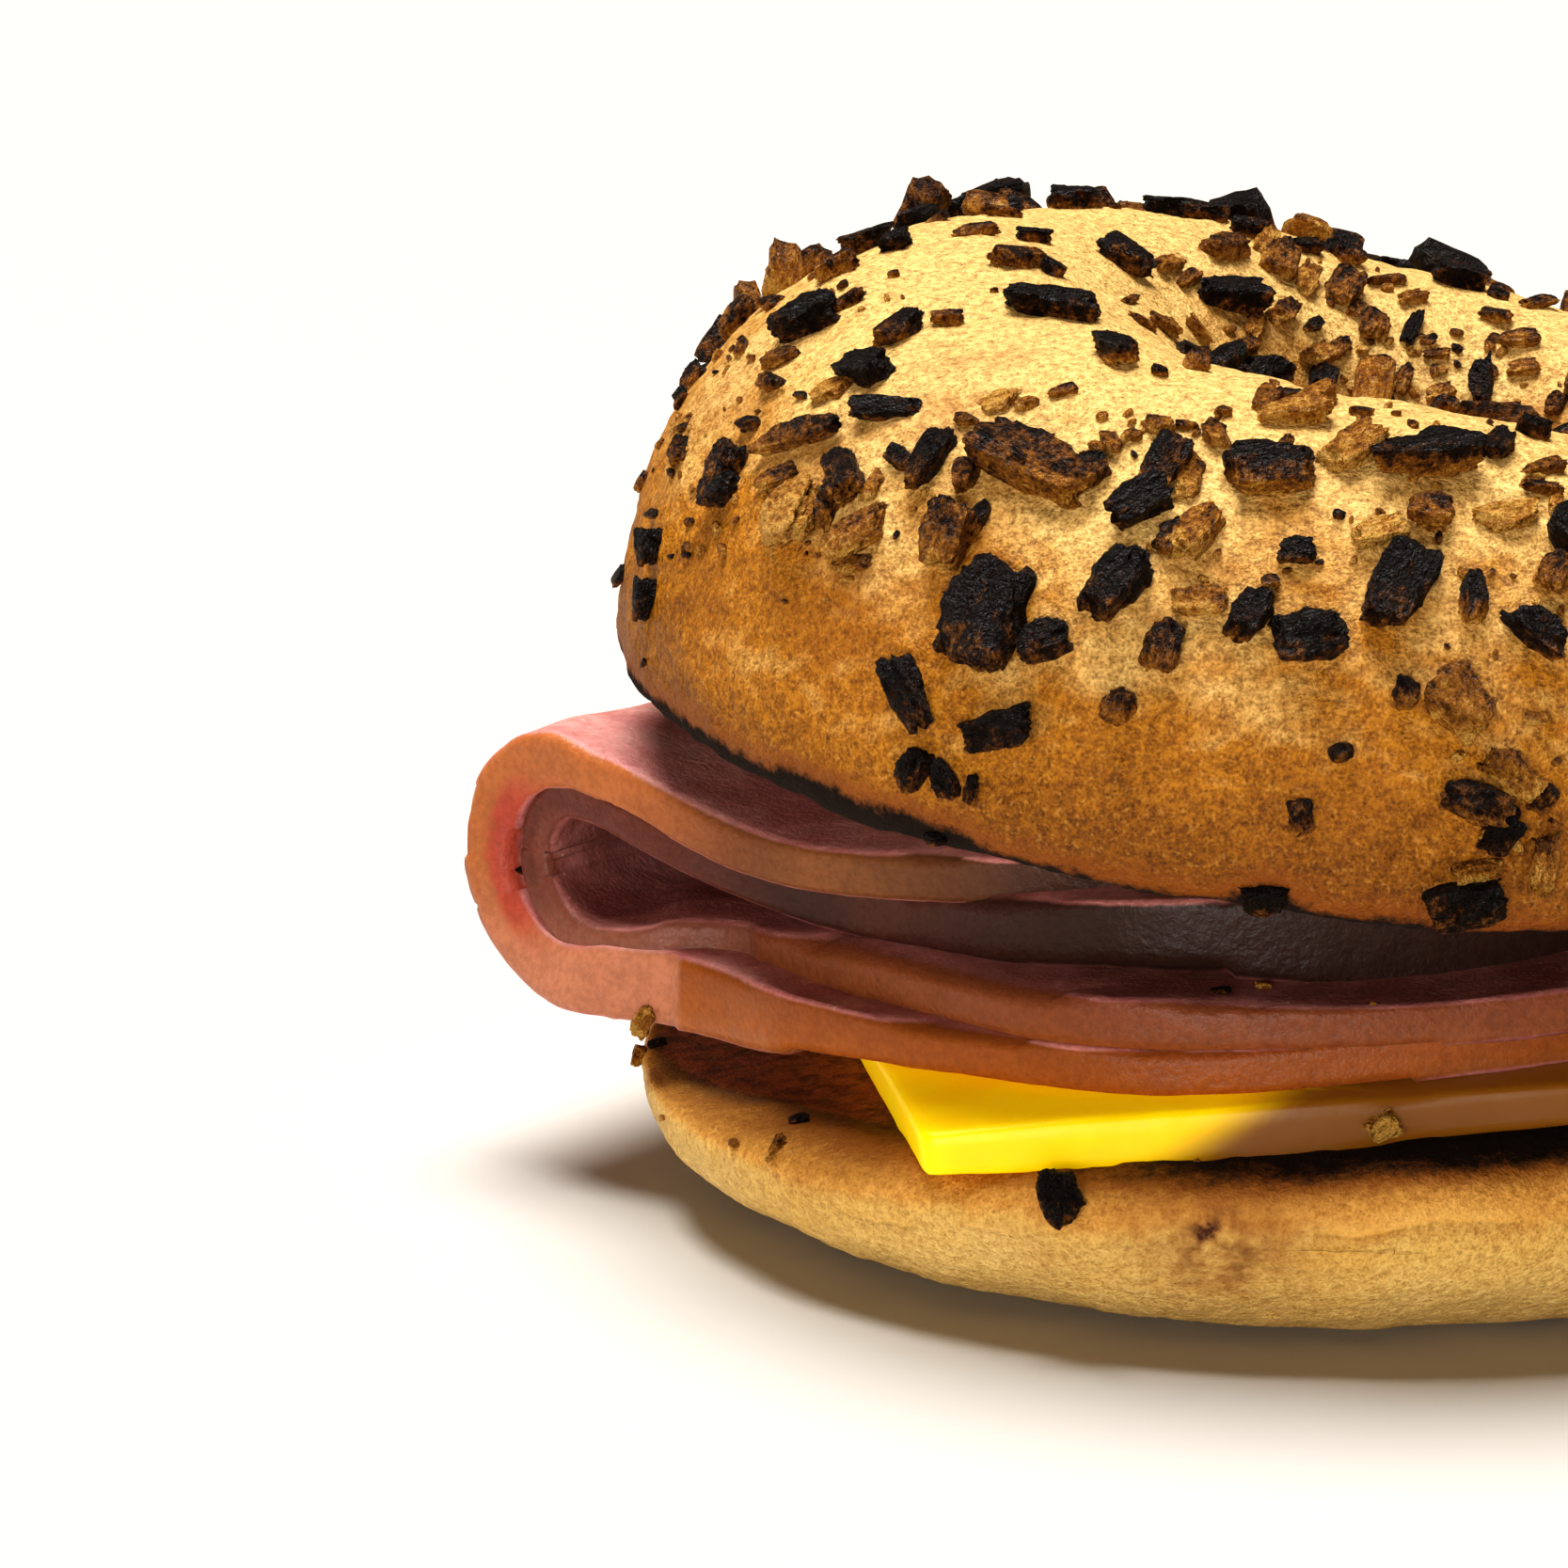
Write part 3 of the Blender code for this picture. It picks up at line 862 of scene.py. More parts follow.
@dataclass
class HamSlice:
    """One folded slice of ham, with its rind round the rim.

    The fold is at the left. From there the lower layer and the upper one run to the right. A pair of sizes
    says between which places, along the axis in its name, a change sets in. Those for x_fold_soft and x_tuck
    count from kink_x, and those for x_brown from brown_from.
    """

    node: str
    ham: CookedHam
    levels: int = 3
    crease: float = 0.75
    wave: float = 9 * MM
    wave_height: float = 0.35 * MM
    grain: float = 1.6 * MM
    grain_height: float = 0.1 * MM
    wall_turn: float = 50.0
    wall_area: float = 40 * MM * MM
    kink_x: float = -37.8 * MM
    brown_from: float = -37.8 * MM
    kink_step: float = 0.8 * MM
    layers_at: float = 21.5 * MM
    layers_rise: float = 0.045
    tip_sharp: float = 3 * MM
    tip_bend: int = 4
    tip_blend: float = 6 * MM
    tip_width: float = 5 * MM
    tip_axis: np.ndarray = field(default_factory=lambda: np.array((-0.47, -0.88, 0.0)))
    tip_spans: int = 15
    tip_dent: float = 0.1 * MM
    swell: float = 0.3 * MM
    bulge: float = 0.0
    tip_bulge: float = 0.0
    tip_middle: tuple = (-43 * MM, 22 * MM)
    shift: float = 0.0
    forward: float = 0.0
    tuck: float = 0.0
    lower_thicker: float = 0.0
    upper_thicker: float = 0.0
    upper_forward: float = 0.0
    lower_down: float = 0.0
    lifts: list[Lift] = field(default_factory=list)
    x_fold_soft: tuple = (-6 * MM, 12 * MM)
    x_red: tuple = (-52 * MM, -46 * MM)
    z_red: tuple = (15 * MM, 19 * MM)
    z_red_end: tuple = (27 * MM, 31 * MM)
    z_low: tuple = (15 * MM, 23 * MM)
    x_brown: tuple = (3 * MM, 11 * MM)
    # Where the painted shade on the rim grows, towards the right.
    x_shade: tuple = (-32 * MM, -8 * MM)
    y_front: tuple = (-8 * MM, 15 * MM)
    y_tip: tuple = (-5 * MM, 10 * MM)
    x_shift: tuple = (-56 * MM, -42 * MM)
    x_past_tip: tuple = (-47 * MM, -38 * MM)
    x_far_right: tuple = (-10 * MM, 10 * MM)
    x_drop: tuple = (-34 * MM, -14 * MM)
    x_forward: tuple = (-26 * MM, -4 * MM)
    x_down: tuple = (-42 * MM, -28 * MM)
    x_tuck: tuple = (-6 * MM, 8 * MM)

    def build(self) -> bpy.types.Object:
        """Builds the slice and returns it."""
        piece = skin_of(self.node, self.node + "_slice")
        self.mark_sides(piece)
        apply_modifier(piece, "SUBSURF", levels=self.levels, render_levels=self.levels)
        inner_side, upper, rim = self.mark_rim(piece)
        self.round_tip(piece, inner_side, rim)
        set_group(piece, "tip", vertex_places(piece)[:, 0] < self.tip_middle[0])
        apply_modifier(piece, "SMOOTH", factor=0.5, iterations=2, vertex_group="tip")
        piece.vertex_groups.clear()
        self.settle(piece, inner_side, upper)
        for size, height in ((self.wave, self.wave_height), (self.grain, self.grain_height)):
            roughen(piece, "ham_waves", size, height)
        finish_piece(piece, self.ham.material(), "cooked_ham", self.node)
        return piece

    def mark_sides(self, piece: bpy.types.Object) -> None:
        """Gives the rim's faces the material number 2, and the fold's inner side the number 1.

        Args:
            piece: The merged copy of the node.
        """
        mesh = piece.data
        bpy.context.tool_settings.mesh_select_mode = (False, False, True)
        to_quads(piece)
        front = min(mesh.polygons, key=lambda face: face.center.y - 0.001 * abs(face.normal.y))
        walls = [face for face in mesh.polygons if face.normal.y < -0.8 and face.area < self.wall_area]
        seed = min(walls, key=lambda face: abs(face.center.x)) if walls else front
        seed.select = True
        bpy.ops.object.mode_set(mode="EDIT")
        bpy.ops.mesh.faces_select_linked_flat(sharpness=math.radians(self.wall_turn))
        bpy.ops.object.mode_set(mode="OBJECT")
        wall = [face.index for face in mesh.polygons if face.select]
        LOG.info("%s: %d faces, %d in the rim", piece.name, len(mesh.polygons), len(wall))
        for _ in range(3):
            mesh.materials.append(None)
        tip = min((face for face in mesh.polygons if not face.select), key=lambda face: face.center.x)
        for face in mesh.polygons:
            face.material_index = 2 if face.select else 1
            face.select = face.index == tip.index
        bpy.ops.object.mode_set(mode="EDIT")
        bpy.ops.mesh.faces_select_linked_flat(sharpness=math.radians(self.wall_turn))
        bpy.ops.object.mode_set(mode="OBJECT")
        for face in mesh.polygons:
            if face.select and face.material_index == 1:
                face.material_index = 0
        sides = {}
        for face in mesh.polygons:
            for key in face.edge_keys:
                sides.setdefault(key, set()).add(face.material_index)
        creases = mesh.attributes.new("crease_edge", "FLOAT", "EDGE")
        tip_at = self.tip_middle[0] - self.tip_sharp
        starts = [mesh.vertices[edge.vertices[0]].co.x for edge in mesh.edges]
        sharp = [1.0 if start < tip_at else self.crease for start in starts]
        values = [crease if len(sides[edge.key]) > 1 else 0.0 for edge, crease in zip(mesh.edges, sharp)]
        creases.data.foreach_set("value", values)

    def mark_rim(self, piece: bpy.types.Object) -> tuple[np.ndarray, np.ndarray, np.ndarray]:
        """Stores for each vertex whether it is on the rim, how far across the rim it is, and where along it.

        Args:
            piece: The subdivided slice.

        Returns:
            For each vertex, how much it belongs to the fold's inner side, the upper layer and the rim.
        """
        mesh = piece.data
        count = np.zeros(len(mesh.vertices))
        rim = np.zeros(len(mesh.vertices))
        sides: list[set] = [set(), set()]
        for face in mesh.polygons:
            for vertex in face.vertices:
                count[vertex] += 1
                rim[vertex] += face.material_index == 2
            if face.material_index < 2:
                sides[face.material_index].update(face.vertices)
        rim /= count
        places = vertex_places(piece)
        gaps = []
        for side in sides:
            gaps.append(gaps_to(places, [number for number in side if rim[number] > 0], rim > 0))
        across = gaps[0] / np.maximum(gaps[0] + gaps[1], 1e-6)
        x, z = places[:, 0], places[:, 2]
        above = z - self.layers_at - self.layers_rise * (x - self.kink_x)
        past_tip = smooth_step(x, self.tip_middle[0], self.tip_middle[0] + self.tip_width)
        blend = 0.5 * MM + self.tip_blend * (1 - past_tip)
        upper = smooth_step(above, -blend, blend)
        hard = 1 - smooth_step(x, self.brown_from - 0.3 * MM, self.brown_from + 0.3 * MM)
        soft = 1 - smooth_step(x - self.kink_x, *self.x_fold_soft)
        set_attribute(piece, "rim", rim)
        set_attribute(piece, "across", across)
        set_attribute(piece, "by_fold", hard * (1 - upper) + soft * upper)
        red = smooth_step(z, *self.z_red) * (1 - smooth_step(z, *self.z_red_end))
        set_attribute(piece, "red", (1 - smooth_step(x, *self.x_red)) * red)
        set_attribute(piece, "low", 1 - smooth_step(z, *self.z_low))
        set_attribute(piece, "upper", upper)
        # The away attribute is painted shade, growing towards the right under the top half; it also darkens
        # the rim next to the kink.
        by_kink = 1 - smooth_step(x - self.brown_from, *self.x_brown)
        set_attribute(piece, "away", np.maximum(smooth_step(x, *self.x_shade), by_kink))
        inner_side = np.zeros(len(places))
        inner_side[list(sides[1])] = 1.0
        return np.where(rim > 0, across, inner_side), upper, rim

    def round_tip(self, piece: bpy.types.Object, inner_side: np.ndarray, rim: np.ndarray) -> None:
        """Draws the front outline of the fold's tip to one smooth curve, and fills the dents of its rim.

        Args:
            piece: The subdivided slice.
            inner_side: For each vertex, how much it belongs to the fold's inner side.
            rim: For each vertex, how much it belongs to the rim.
        """
        places = vertex_places(piece)
        out, up = self.tip_middle[0] - places[:, 0], places[:, 2] - self.tip_middle[1]
        turn, reach = np.arctan2(up, out), np.hypot(out, up)
        outline = (inner_side < 0.02) & (out > 0) & (places[:, 1] < -3 * MM)
        bounds = np.linspace(-math.pi / 2, math.pi / 2, self.tip_spans + 1)
        spans = [np.flatnonzero(outline & (turn >= low) & (turn < high))
                 for low, high in zip(bounds, bounds[1:])]
        far = [span[reach[span].argmax()] for span in spans if len(span)]
        curve = np.polyval(np.polyfit(turn[far], reach[far], self.tip_bend), turn)
        change = curve - np.interp(turn, turn[far], reach[far])
        change *= smooth_step(out, 0, self.tip_width) * (1 - smooth_step(places[:, 1], *self.y_tip))
        places[:, 0] -= change * np.cos(turn)
        places[:, 2] += change * np.sin(turn)
        flat = (out > 0) & (rim > 0.99)
        along = places @ self.tip_axis
        behind = np.polyval(np.polyfit(places[flat, 0], along[flat], 2), places[:, 0]) - along
        behind = np.maximum(behind - self.tip_dent, 0) * smooth_step(rim, 0.2, 0.8)
        places += (behind * smooth_step(out, 0, self.tip_width))[:, None] * self.tip_axis
        move_vertices(piece, places)

    def settle(self, piece: bpy.types.Object, inner_side: np.ndarray, upper: np.ndarray) -> None:
        """Plumps the slice, and moves its layers to where the photograph shows them.

        Args:
            piece: The subdivided slice.
            inner_side: For each vertex, how much it belongs to the fold's inner side.
            upper: For each vertex, how much it belongs to the upper layer.
        """
        places, normals = vertex_places(piece), vertex_normals(piece)
        x, y, z = (places[:, axis].copy() for axis in range(3))
        near_fold = 1 - smooth_step(x, self.kink_x, self.kink_x + 20 * MM)
        near_front = 1 - smooth_step(y, *self.y_front)
        at_tip = 1 - smooth_step(x, self.tip_middle[0] - 8 * MM, self.tip_middle[0])
        places += normals * self.swell
        to_middle = np.maximum(self.tip_middle[0] - x, 0)
        inwards = np.stack((to_middle, np.zeros(len(x)), self.tip_middle[1] - z), axis=1)
        inwards /= np.maximum(np.linalg.norm(inwards, axis=1), 1 * MM)[:, None]
        thicker = self.bulge * near_fold * (1 - upper) * (1 - at_tip) + self.tip_bulge * at_tip
        places += inwards * (thicker * inner_side)[:, None]
        places[:, 0] += self.shift * (1 - smooth_step(x, *self.x_shift))
        past_tip = smooth_step(x, *self.x_past_tip)
        far_right = smooth_step(x, *self.x_far_right)
        rise = self.lower_thicker * inner_side * (1 - upper)
        places[:, 2] += rise * past_tip * near_front * (1 - far_right)
        drop = self.upper_thicker * (smooth_step(x, *self.x_drop) + 0.75 * far_right)
        places[:, 2] -= drop * inner_side * upper * near_front
        places[:, 1] -= self.upper_forward * upper * smooth_step(x, *self.x_forward) * near_front
        places[:, 2] -= self.lower_down * (1 - upper) * smooth_step(x, *self.x_down) * near_front
        tip = (1 - smooth_step(x - self.kink_x, *self.x_tuck)) * near_front
        places[:, 1] -= self.forward * tip
        places[:, 0] += self.tuck * tip
        for lift in self.lifts:
            layer = upper if lift.upper else 1 - upper
            places[:, 2] += lift.height * np.exp(-(((x - lift.x) / lift.reach) ** 2)) * layer * near_front
        left = 1 - smooth_step(x, self.brown_from - 0.4 * MM, self.brown_from)
        left *= smooth_step(x, self.brown_from - 9 * MM, self.brown_from - 1 * MM) * (1 - upper) * near_front
        places[:, 1] += self.kink_step * left
        move_vertices(piece, places)


@dataclass
class CheeseSlice:
    """The square slice of cheese, its corners drooping over the bread."""

    node: str
    cheese: ProcessedCheese
    levels: int = 3
    crease: float = 0.5
    edge_turn: float = 60.0
    wave: float = 8 * MM
    wave_height: float = 0.3 * MM
    # Where the painted shadow on the front begins, in pixels of the view, its slant and how soft its edge
    # is.
    painted_shadow_from: tuple = (1350, 1165)
    painted_shadow_slant: float = 1.47
    painted_shadow_soft: float = 50.0
    front_depth: float = -25 * MM
    front_blend: float = 5 * MM
    sag: float = 1.3 * MM
    sag_at: float = -1 * MM
    sag_reach: float = 16 * MM

    def build(self, view: PhotoView) -> bpy.types.Object:
        """Builds the slice.

        Args:
            view: Places the painted shadow on its front.

        Returns:
            The finished piece.
        """
        piece = skin_of(self.node, self.node + "_melt")
        crease_edges(piece, self.edge_turn, self.crease)
        apply_modifier(piece, "SUBSURF", levels=self.levels, render_levels=self.levels)
        roughen(piece, "cheese_waves", self.wave, self.wave_height)
        places, normals = vertex_places(piece), vertex_normals(piece)
        front = 1 - smooth_step(places[:, 1] - self.front_depth, -self.front_blend, self.front_blend)
        under = smooth_step(-normals[:, 2], -0.5, 0.3)
        hang = np.exp(-(((places[:, 0] - self.sag_at) / self.sag_reach) ** 2))
        places[:, 2] -= self.sag * under * front * hang
        move_vertices(piece, places)
        # Painted shadow on the front, right of a slanted line in the view.
        u, v = view.pixels(places)
        past = u - self.painted_shadow_from[0] + self.painted_shadow_slant * (v - self.painted_shadow_from[1])
        set_attribute(piece, "stained", smooth_step(past, -self.painted_shadow_soft, self.painted_shadow_soft) * front)
        finish_piece(piece, self.cheese.material(), "processed_cheese", self.node)
        return piece


# Toppings


class Tone(Enum):
    """How far a flake was toasted, as its charring and how much more charred its top is than its foot."""

    BLACK = (0.92, 0.3)
    SINGED = (0.62, 0.6)
    DARK = (0.68, 0.3)
    BROWN = (0.45, 0.3)
    GOLDEN = (0.2, 0.25)
    PALE = (0.02, 0.1)


class Shape(Enum):
    """The moulds that flakes are copied from, as how thick one is for its width."""

    BLOCK = 0.72
    SHARD = 0.85
    PLATE = 0.5
    NUGGET = 0.8


@dataclass
class Flake:
    """One piece of toasted onion, placed by a pixel of the photograph.

    The size is the one that shows, and the angle is that of its long side, in degrees above the horizontal.
    """

    u: float
    v: float
    long: float
    wide: float
    angle: float
    tone: Tone
    shape: Shape = Shape.BLOCK


@dataclass(frozen=True)
class ToastedOnion:
    """Dried onion, toasted: papery gold where it is thin, ribbed brown, and pitted dull black where charred.

    The eye takes it for onion by the fine ribs along each flake. The attribute own is the place inside each
    flake, so that no two look alike, and char is how charred it is.
    """

    name: str
    pale: str = "dba650"
    golden: str = "b07224"
    brown: str = "7a4a1a"
    dark: str = "331b0c"
    black: str = "130a06"
    rib: float = 0.4 * MM
    pit: float = 0.45 * MM
    # The charred grit is finer than this, and is drawn as coarse as it needs to show.
    grit: float = 0.2 * MM
    lump: float = 1.3 * MM
    relief: float = 0.9 * MM

    def material(self) -> bpy.types.Material:
        """Builds the onion's shader."""
        made, tree = new_material(self.name)
        node = partial(add_node, tree)
        own = node(READ, out="Vector", attribute_name="own")
        char = node(READ, out="Fac", attribute_name="char")
        drawn = node(TURN, {"Vector": own, "Scale": (0.25, 1, 1)})
        ribs = node(NOISE, {"Vector": drawn, "Scale": per_size(self.rib), "Detail": 3.0, "Roughness": 0.6})
        lumps, pits, grit = (
            node(NOISE, {"Vector": own, "Scale": per_size(size), "Detail": detail, "Roughness": roughness})
            for size, detail, roughness in (
                (self.lump, 4.0, 0.65), (self.pit, 3.0, 0.7), (self.grit, 2.0, 0.5),
            )
        )
        level = char
        for part, share in ((lumps, 1.3), (ribs, -0.6), (pits, -1.3)):
            level = node(MATH, {0: part, 1: share, 2: level}, operation="MULTIPLY_ADD")
        level = node(MATH, {0: level, 1: 0.3}, operation="ADD")
        tone = node(RAMP, {0: level}, [(0.0, self.pale), (0.22, self.golden), (0.5, self.brown),
                                       (0.7, self.dark), (0.92, self.black)])
        relief = node(MATH, {0: pits, 1: 1.6, 2: ribs}, operation="MULTIPLY_ADD")
        relief = node(MATH, {0: grit, 1: 0.5, 2: relief}, operation="MULTIPLY_ADD")
        bump = node(BUMP, {"Strength": 1.0, "Distance": self.relief, "Height": relief})
        skin = node(SKIN, {"Base Color": tone, "Roughness": 0.42, "Normal": bump, "IOR": 1.45,
                           "Specular IOR Level": 0.22})
        node(SURFACE, {"Surface": skin})
        return made


@dataclass
class Moulds:
    """Master shapes of the flakes, each 1 long, 1 wide and 1 high, modelled once and copied.

    The close ones have enough faces for a broken, crumbly outline, and the far ones a few dozen.
    """

    kinds: int = 7
    close_voxel: float = 0.09
    far_voxel: float = 0.21
    corner: float = 0.1
    corner_uniform: float = 0.5
    corner_out: float = 0.3
    lumps: float = 0.22
    lump_size: tuple = (0.3, 0.5)
    grit: float = 0.16
    grit_size: float = 0.13
    taper: float = 0.35
    bend: float = 55.0
    cut_at: tuple = (0.45, 0.62)
    masters: dict = field(default_factory=dict)

    def build(self) -> None:
        """Models every master, several of each shape."""
        for shape in Shape:
            for close in (True, False):
                made = [self.model(shape, number, close) for number in range(self.kinds)]
                self.masters[shape, close] = made

    def model(self, shape: Shape, number: int, close: bool) -> bpy.types.Mesh:
        """Models one master.

        Args:
            shape: Which mould.
            number: Which of its kind, which seeds its unevenness.
            close: Whether it has the finer outline.

        Returns:
            The mesh, in a box of side 1.
        """
        draw = random.Random(f"{shape.name}{number}")
        if bpy.context.mode != "OBJECT":
            bpy.ops.object.mode_set(mode="OBJECT")
        bpy.ops.object.select_all(action="DESELECT")
        bpy.ops.mesh.primitive_cube_add(size=1.0)
        piece = bpy.context.active_object
        bpy.ops.object.mode_set(mode="EDIT")
        bpy.ops.mesh.select_all(action="SELECT")
        bpy.ops.mesh.subdivide(number_cuts=2)
        bpy.ops.transform.vertex_random(offset=self.corner, uniform=self.corner_uniform,
                                        normal=self.corner_out, seed=draw.randrange(999))
        self.trim(draw, {Shape.BLOCK: 3, Shape.SHARD: 4, Shape.PLATE: 5, Shape.NUGGET: 8}[shape])
        bpy.ops.object.mode_set(mode="OBJECT")
        apply_modifier(piece, "SIMPLE_DEFORM", deform_method="TAPER", deform_axis="X",
                       factor=draw.uniform(-self.taper, self.taper))
        voxel = self.close_voxel if close else self.far_voxel
        apply_modifier(piece, "REMESH", mode="VOXEL", voxel_size=voxel)
        apply_modifier(piece, "SMOOTH", factor=0.5, iterations=2 if close else 1)
        roughen(piece, "flake_lumps", draw.uniform(*self.lump_size), self.lumps)
        if close:
            roughen(piece, "flake_grit", self.grit_size, self.grit)
        if shape in (Shape.PLATE, Shape.SHARD):
            apply_modifier(piece, "SIMPLE_DEFORM", deform_method="BEND", deform_axis="Z",
                           angle=math.radians(draw.uniform(-self.bend, self.bend)))
        places = vertex_places(piece)
        low, high = places.min(axis=0), places.max(axis=0)
        move_vertices(piece, (places - (low + high) / 2) / (high - low))
        mesh = piece.data
        bpy.data.objects.remove(piece)
        return mesh

    def trim(self, draw: random.Random, cuts: int) -> None:
        """Cuts corners off the shape that is being edited, so that it has broken facets.

        Args:
            draw: The source of the cuts' places.
            cuts: How many cuts.
        """
        for _ in range(cuts):
            along, across = (draw.choice((-1, 1)) * draw.uniform(0.3, 1) for _ in range(2))
            out = Vector((along, across, draw.uniform(-1, 1))).normalized()
            bpy.ops.mesh.select_all(action="SELECT")
            bpy.ops.mesh.bisect(plane_co=out * draw.uniform(*self.cut_at), plane_no=out, use_fill=True,
                                clear_outer=True)


@dataclass
class OnionTopping:
    """The toasted onion on the crust: the flakes that the photograph shows, and like ones elsewhere.

    Each row of crumbs is a box of the photograph's pixels, as left, top, right and bottom, and how many
    crumbs lie in it. The lengths in millimetres are the least, the greatest and the most common one.
    """

    view: PhotoView
    bread: bpy.types.Object
    others: list[bpy.types.Object]
    moulds: Moulds
    sunk: float = 0.22
    plump: float = 0.98
    tilt: float = 9.0
    middle: tuple = (1250, 600)
    step: float = 6.0
    steps: int = 60
    unseen: int = 230
    rim_clearance: float = 9 * MM
    close_from: float = 1.9 * MM
    crumb_mm: tuple = (0.3, 1.3, 0.5)
    crumb_wide: float = 0.8
    crumb_seed: int = 11
    unseen_mm: tuple = (1.5, 6.5, 3.2)
    unseen_wide: tuple = (0.45, 0.9)
    unseen_facing: tuple = (-0.25, 0.6)
    unseen_seed: int = 7
    photo_edge: float = 8.0
    char_change: float = 0.08
    edge_on: float = -0.25
    longer: tuple = (0.9, 1.35)
    wider: tuple = (0.9, 1.3)
    thickest: float = 3.2 * MM
    crumbs: tuple = (
        (735, 355, 800, 400, 14), (690, 400, 860, 600, 50), (1160, 440, 1300, 490, 14),
        (840, 290, 960, 330, 10), (1300, 250, 1500, 470, 40), (1440, 320, 1660, 540, 46),
        (1500, 560, 1667, 720, 16), (1540, 800, 1667, 900, 22), (940, 520, 1010, 560, 6),
        (1190, 560, 1300, 620, 8), (800, 560, 960, 640, 8), (1330, 540, 1480, 640, 8),
    )
    made: dict = field(default_factory=dict)

    def build(self, flakes: list[Flake]) -> list[bpy.types.Object]:
        """Places the flakes and joins them into one piece for each kind.

        Args:
            flakes: The flakes that the photograph shows.

        Returns:
            The joined pieces.
        """
        for number, flake in enumerate(flakes):
            found = self.seat(flake.u, flake.v)
            if found:
                self.lay(*found, flake, random.Random(number), flake.long > self.close_from)
        self.crumble()
        self.scatter()
        names = {"charred": (Tone.BLACK, Tone.SINGED), "browned": (Tone.DARK, Tone.BROWN),
                 "golden": (Tone.GOLDEN, Tone.PALE)}
        pieces = []
        for name, tones in names.items():
            parts = [part for tone in tones for part in self.made.get(tone, [])]
            finish = ToastedOnion("Toasted onion, " + name)
            pieces.append(join_parts(parts, "onion_" + name, finish.material(), "toasted_onion"))
        return pieces

    def crumble(self) -> None:
        """Strews small crumbs of onion over the parts of the crust where the photograph shows them."""
        draw = random.Random(self.crumb_seed)
        for left, top, right, bottom, count in self.crumbs:
            for _ in range(count):
                found = self.view.spot([self.bread], draw.uniform(left, right), draw.uniform(top, bottom))
                long = draw.triangular(*self.crumb_mm) * MM
                tone = draw.choice((Tone.BROWN, Tone.BROWN, Tone.GOLDEN, Tone.GOLDEN, Tone.PALE, Tone.DARK))
                if found:
                    wide = long * self.crumb_wide
                    crumb = Flake(0, 0, long, wide, draw.uniform(0, 180), tone, Shape.NUGGET)
                    self.lay(*found, crumb, draw, False)

    def seat(self, u: float, v: float) -> tuple[Vector, Vector] | None:
        """Finds what lies under a pixel, or the nearest towards the middle where the pixel is past it."""
        for _ in range(self.steps):
            found = self.view.spot([self.bread, *self.others], u, v)
            if found:
                return found
            away = Vector((self.middle[0] - u, self.middle[1] - v)).normalized() * self.step
            u, v = u + away.x, v + away.y
        return None

    def lay(self, point: Vector, normal: Vector, flake: Flake, draw: random.Random, close: bool) -> None:
        """Copies a mould, and lays it on the bread.

        Args:
            point: Where on the bread.
            normal: The bread's normal there.
            flake: The flake's size, turn and kind.
            draw: The source of its unevenness.
            close: Whether it has the finer outline.
        """
        eye = self.view.matrix().to_3x3()
        aim = eye @ Vector((math.cos(math.radians(flake.angle)), math.sin(math.radians(flake.angle)), 0))
        ray = (point - self.view.place).normalized()
        toward = ray.dot(normal)
        longer = 1.0
        if toward < self.edge_on:
            along = aim - ray * (aim.dot(normal) / min(toward, -0.4))
            longer = min(max(along.length, self.longer[0]), self.longer[1])
        else:
            along = aim - normal * aim.dot(normal)
            along += aim * max(0.6 - along.length, 0) * 1.5
        along.normalize()
        side = normal.cross(along).normalized()
        up = along.cross(side)
        facing = abs(toward)
        thick = min(flake.wide * flake.shape.value, self.thickest)
        wide = (flake.wide - thick * math.sqrt(1 - facing * facing)) / max(facing, 0.35)
        wide = min(max(wide, self.wider[0] * flake.wide), self.wider[1] * flake.wide)
        turn = Matrix((along, side, up)).transposed().to_4x4()
        lean = Matrix()
        for axis in "XY":
            lean = lean @ Matrix.Rotation(math.radians(draw.uniform(-self.tilt, self.tilt)), 4, axis)
        middle = point + normal * thick * (0.5 - self.sunk)
        master = draw.choice(self.moulds.masters[flake.shape, close])
        size = Vector((flake.long * longer, wide, thick)) * self.plump
        self.copy(master, Matrix.Translation(middle) @ turn @ lean, size, flake, draw)

    def copy(
        self, master: bpy.types.Mesh, place: Matrix, size: Vector, flake: Flake, draw: random.Random
    ) -> None:
        """Copies a mould to its place and size, with what its finish reads.

        Args:
            master: The mould.
            place: Where it goes and how it is turned.
            size: Its length, width and height.
            flake: Its kind.
            draw: Picks its place in the pattern.
        """
        mesh = master.copy()
        mesh.transform(Matrix.Diagonal((*size, 1)))
        offset = Vector((draw.uniform(0, 1), draw.uniform(0, 1), draw.uniform(0, 1)))
        own = mesh.attributes.new("own", "FLOAT_VECTOR", "POINT")
        places = np.empty(len(mesh.vertices) * 3, np.float32)
        mesh.vertices.foreach_get("co", places)
        own.data.foreach_set("vector", (places.reshape(-1, 3) + np.array(offset)).astype(np.float32).ravel())
        mesh.transform(place)
        mesh.vertices.foreach_get("co", places)
        height = places.reshape(-1, 3)[:, 2]
        share = (height - height.mean()) / max(np.ptp(height) / 2, 1e-6)
        level, slope = flake.tone.value
        char = mesh.attributes.new("char", "FLOAT", "POINT")
        charred = level + slope * share + draw.uniform(-self.char_change, self.char_change)
        char.data.foreach_set("value", charred.astype(np.float32))
        part = bpy.data.objects.new("flake", mesh)
        bpy.context.scene.collection.objects.link(part)
        self.made.setdefault(flake.tone, []).append(part)

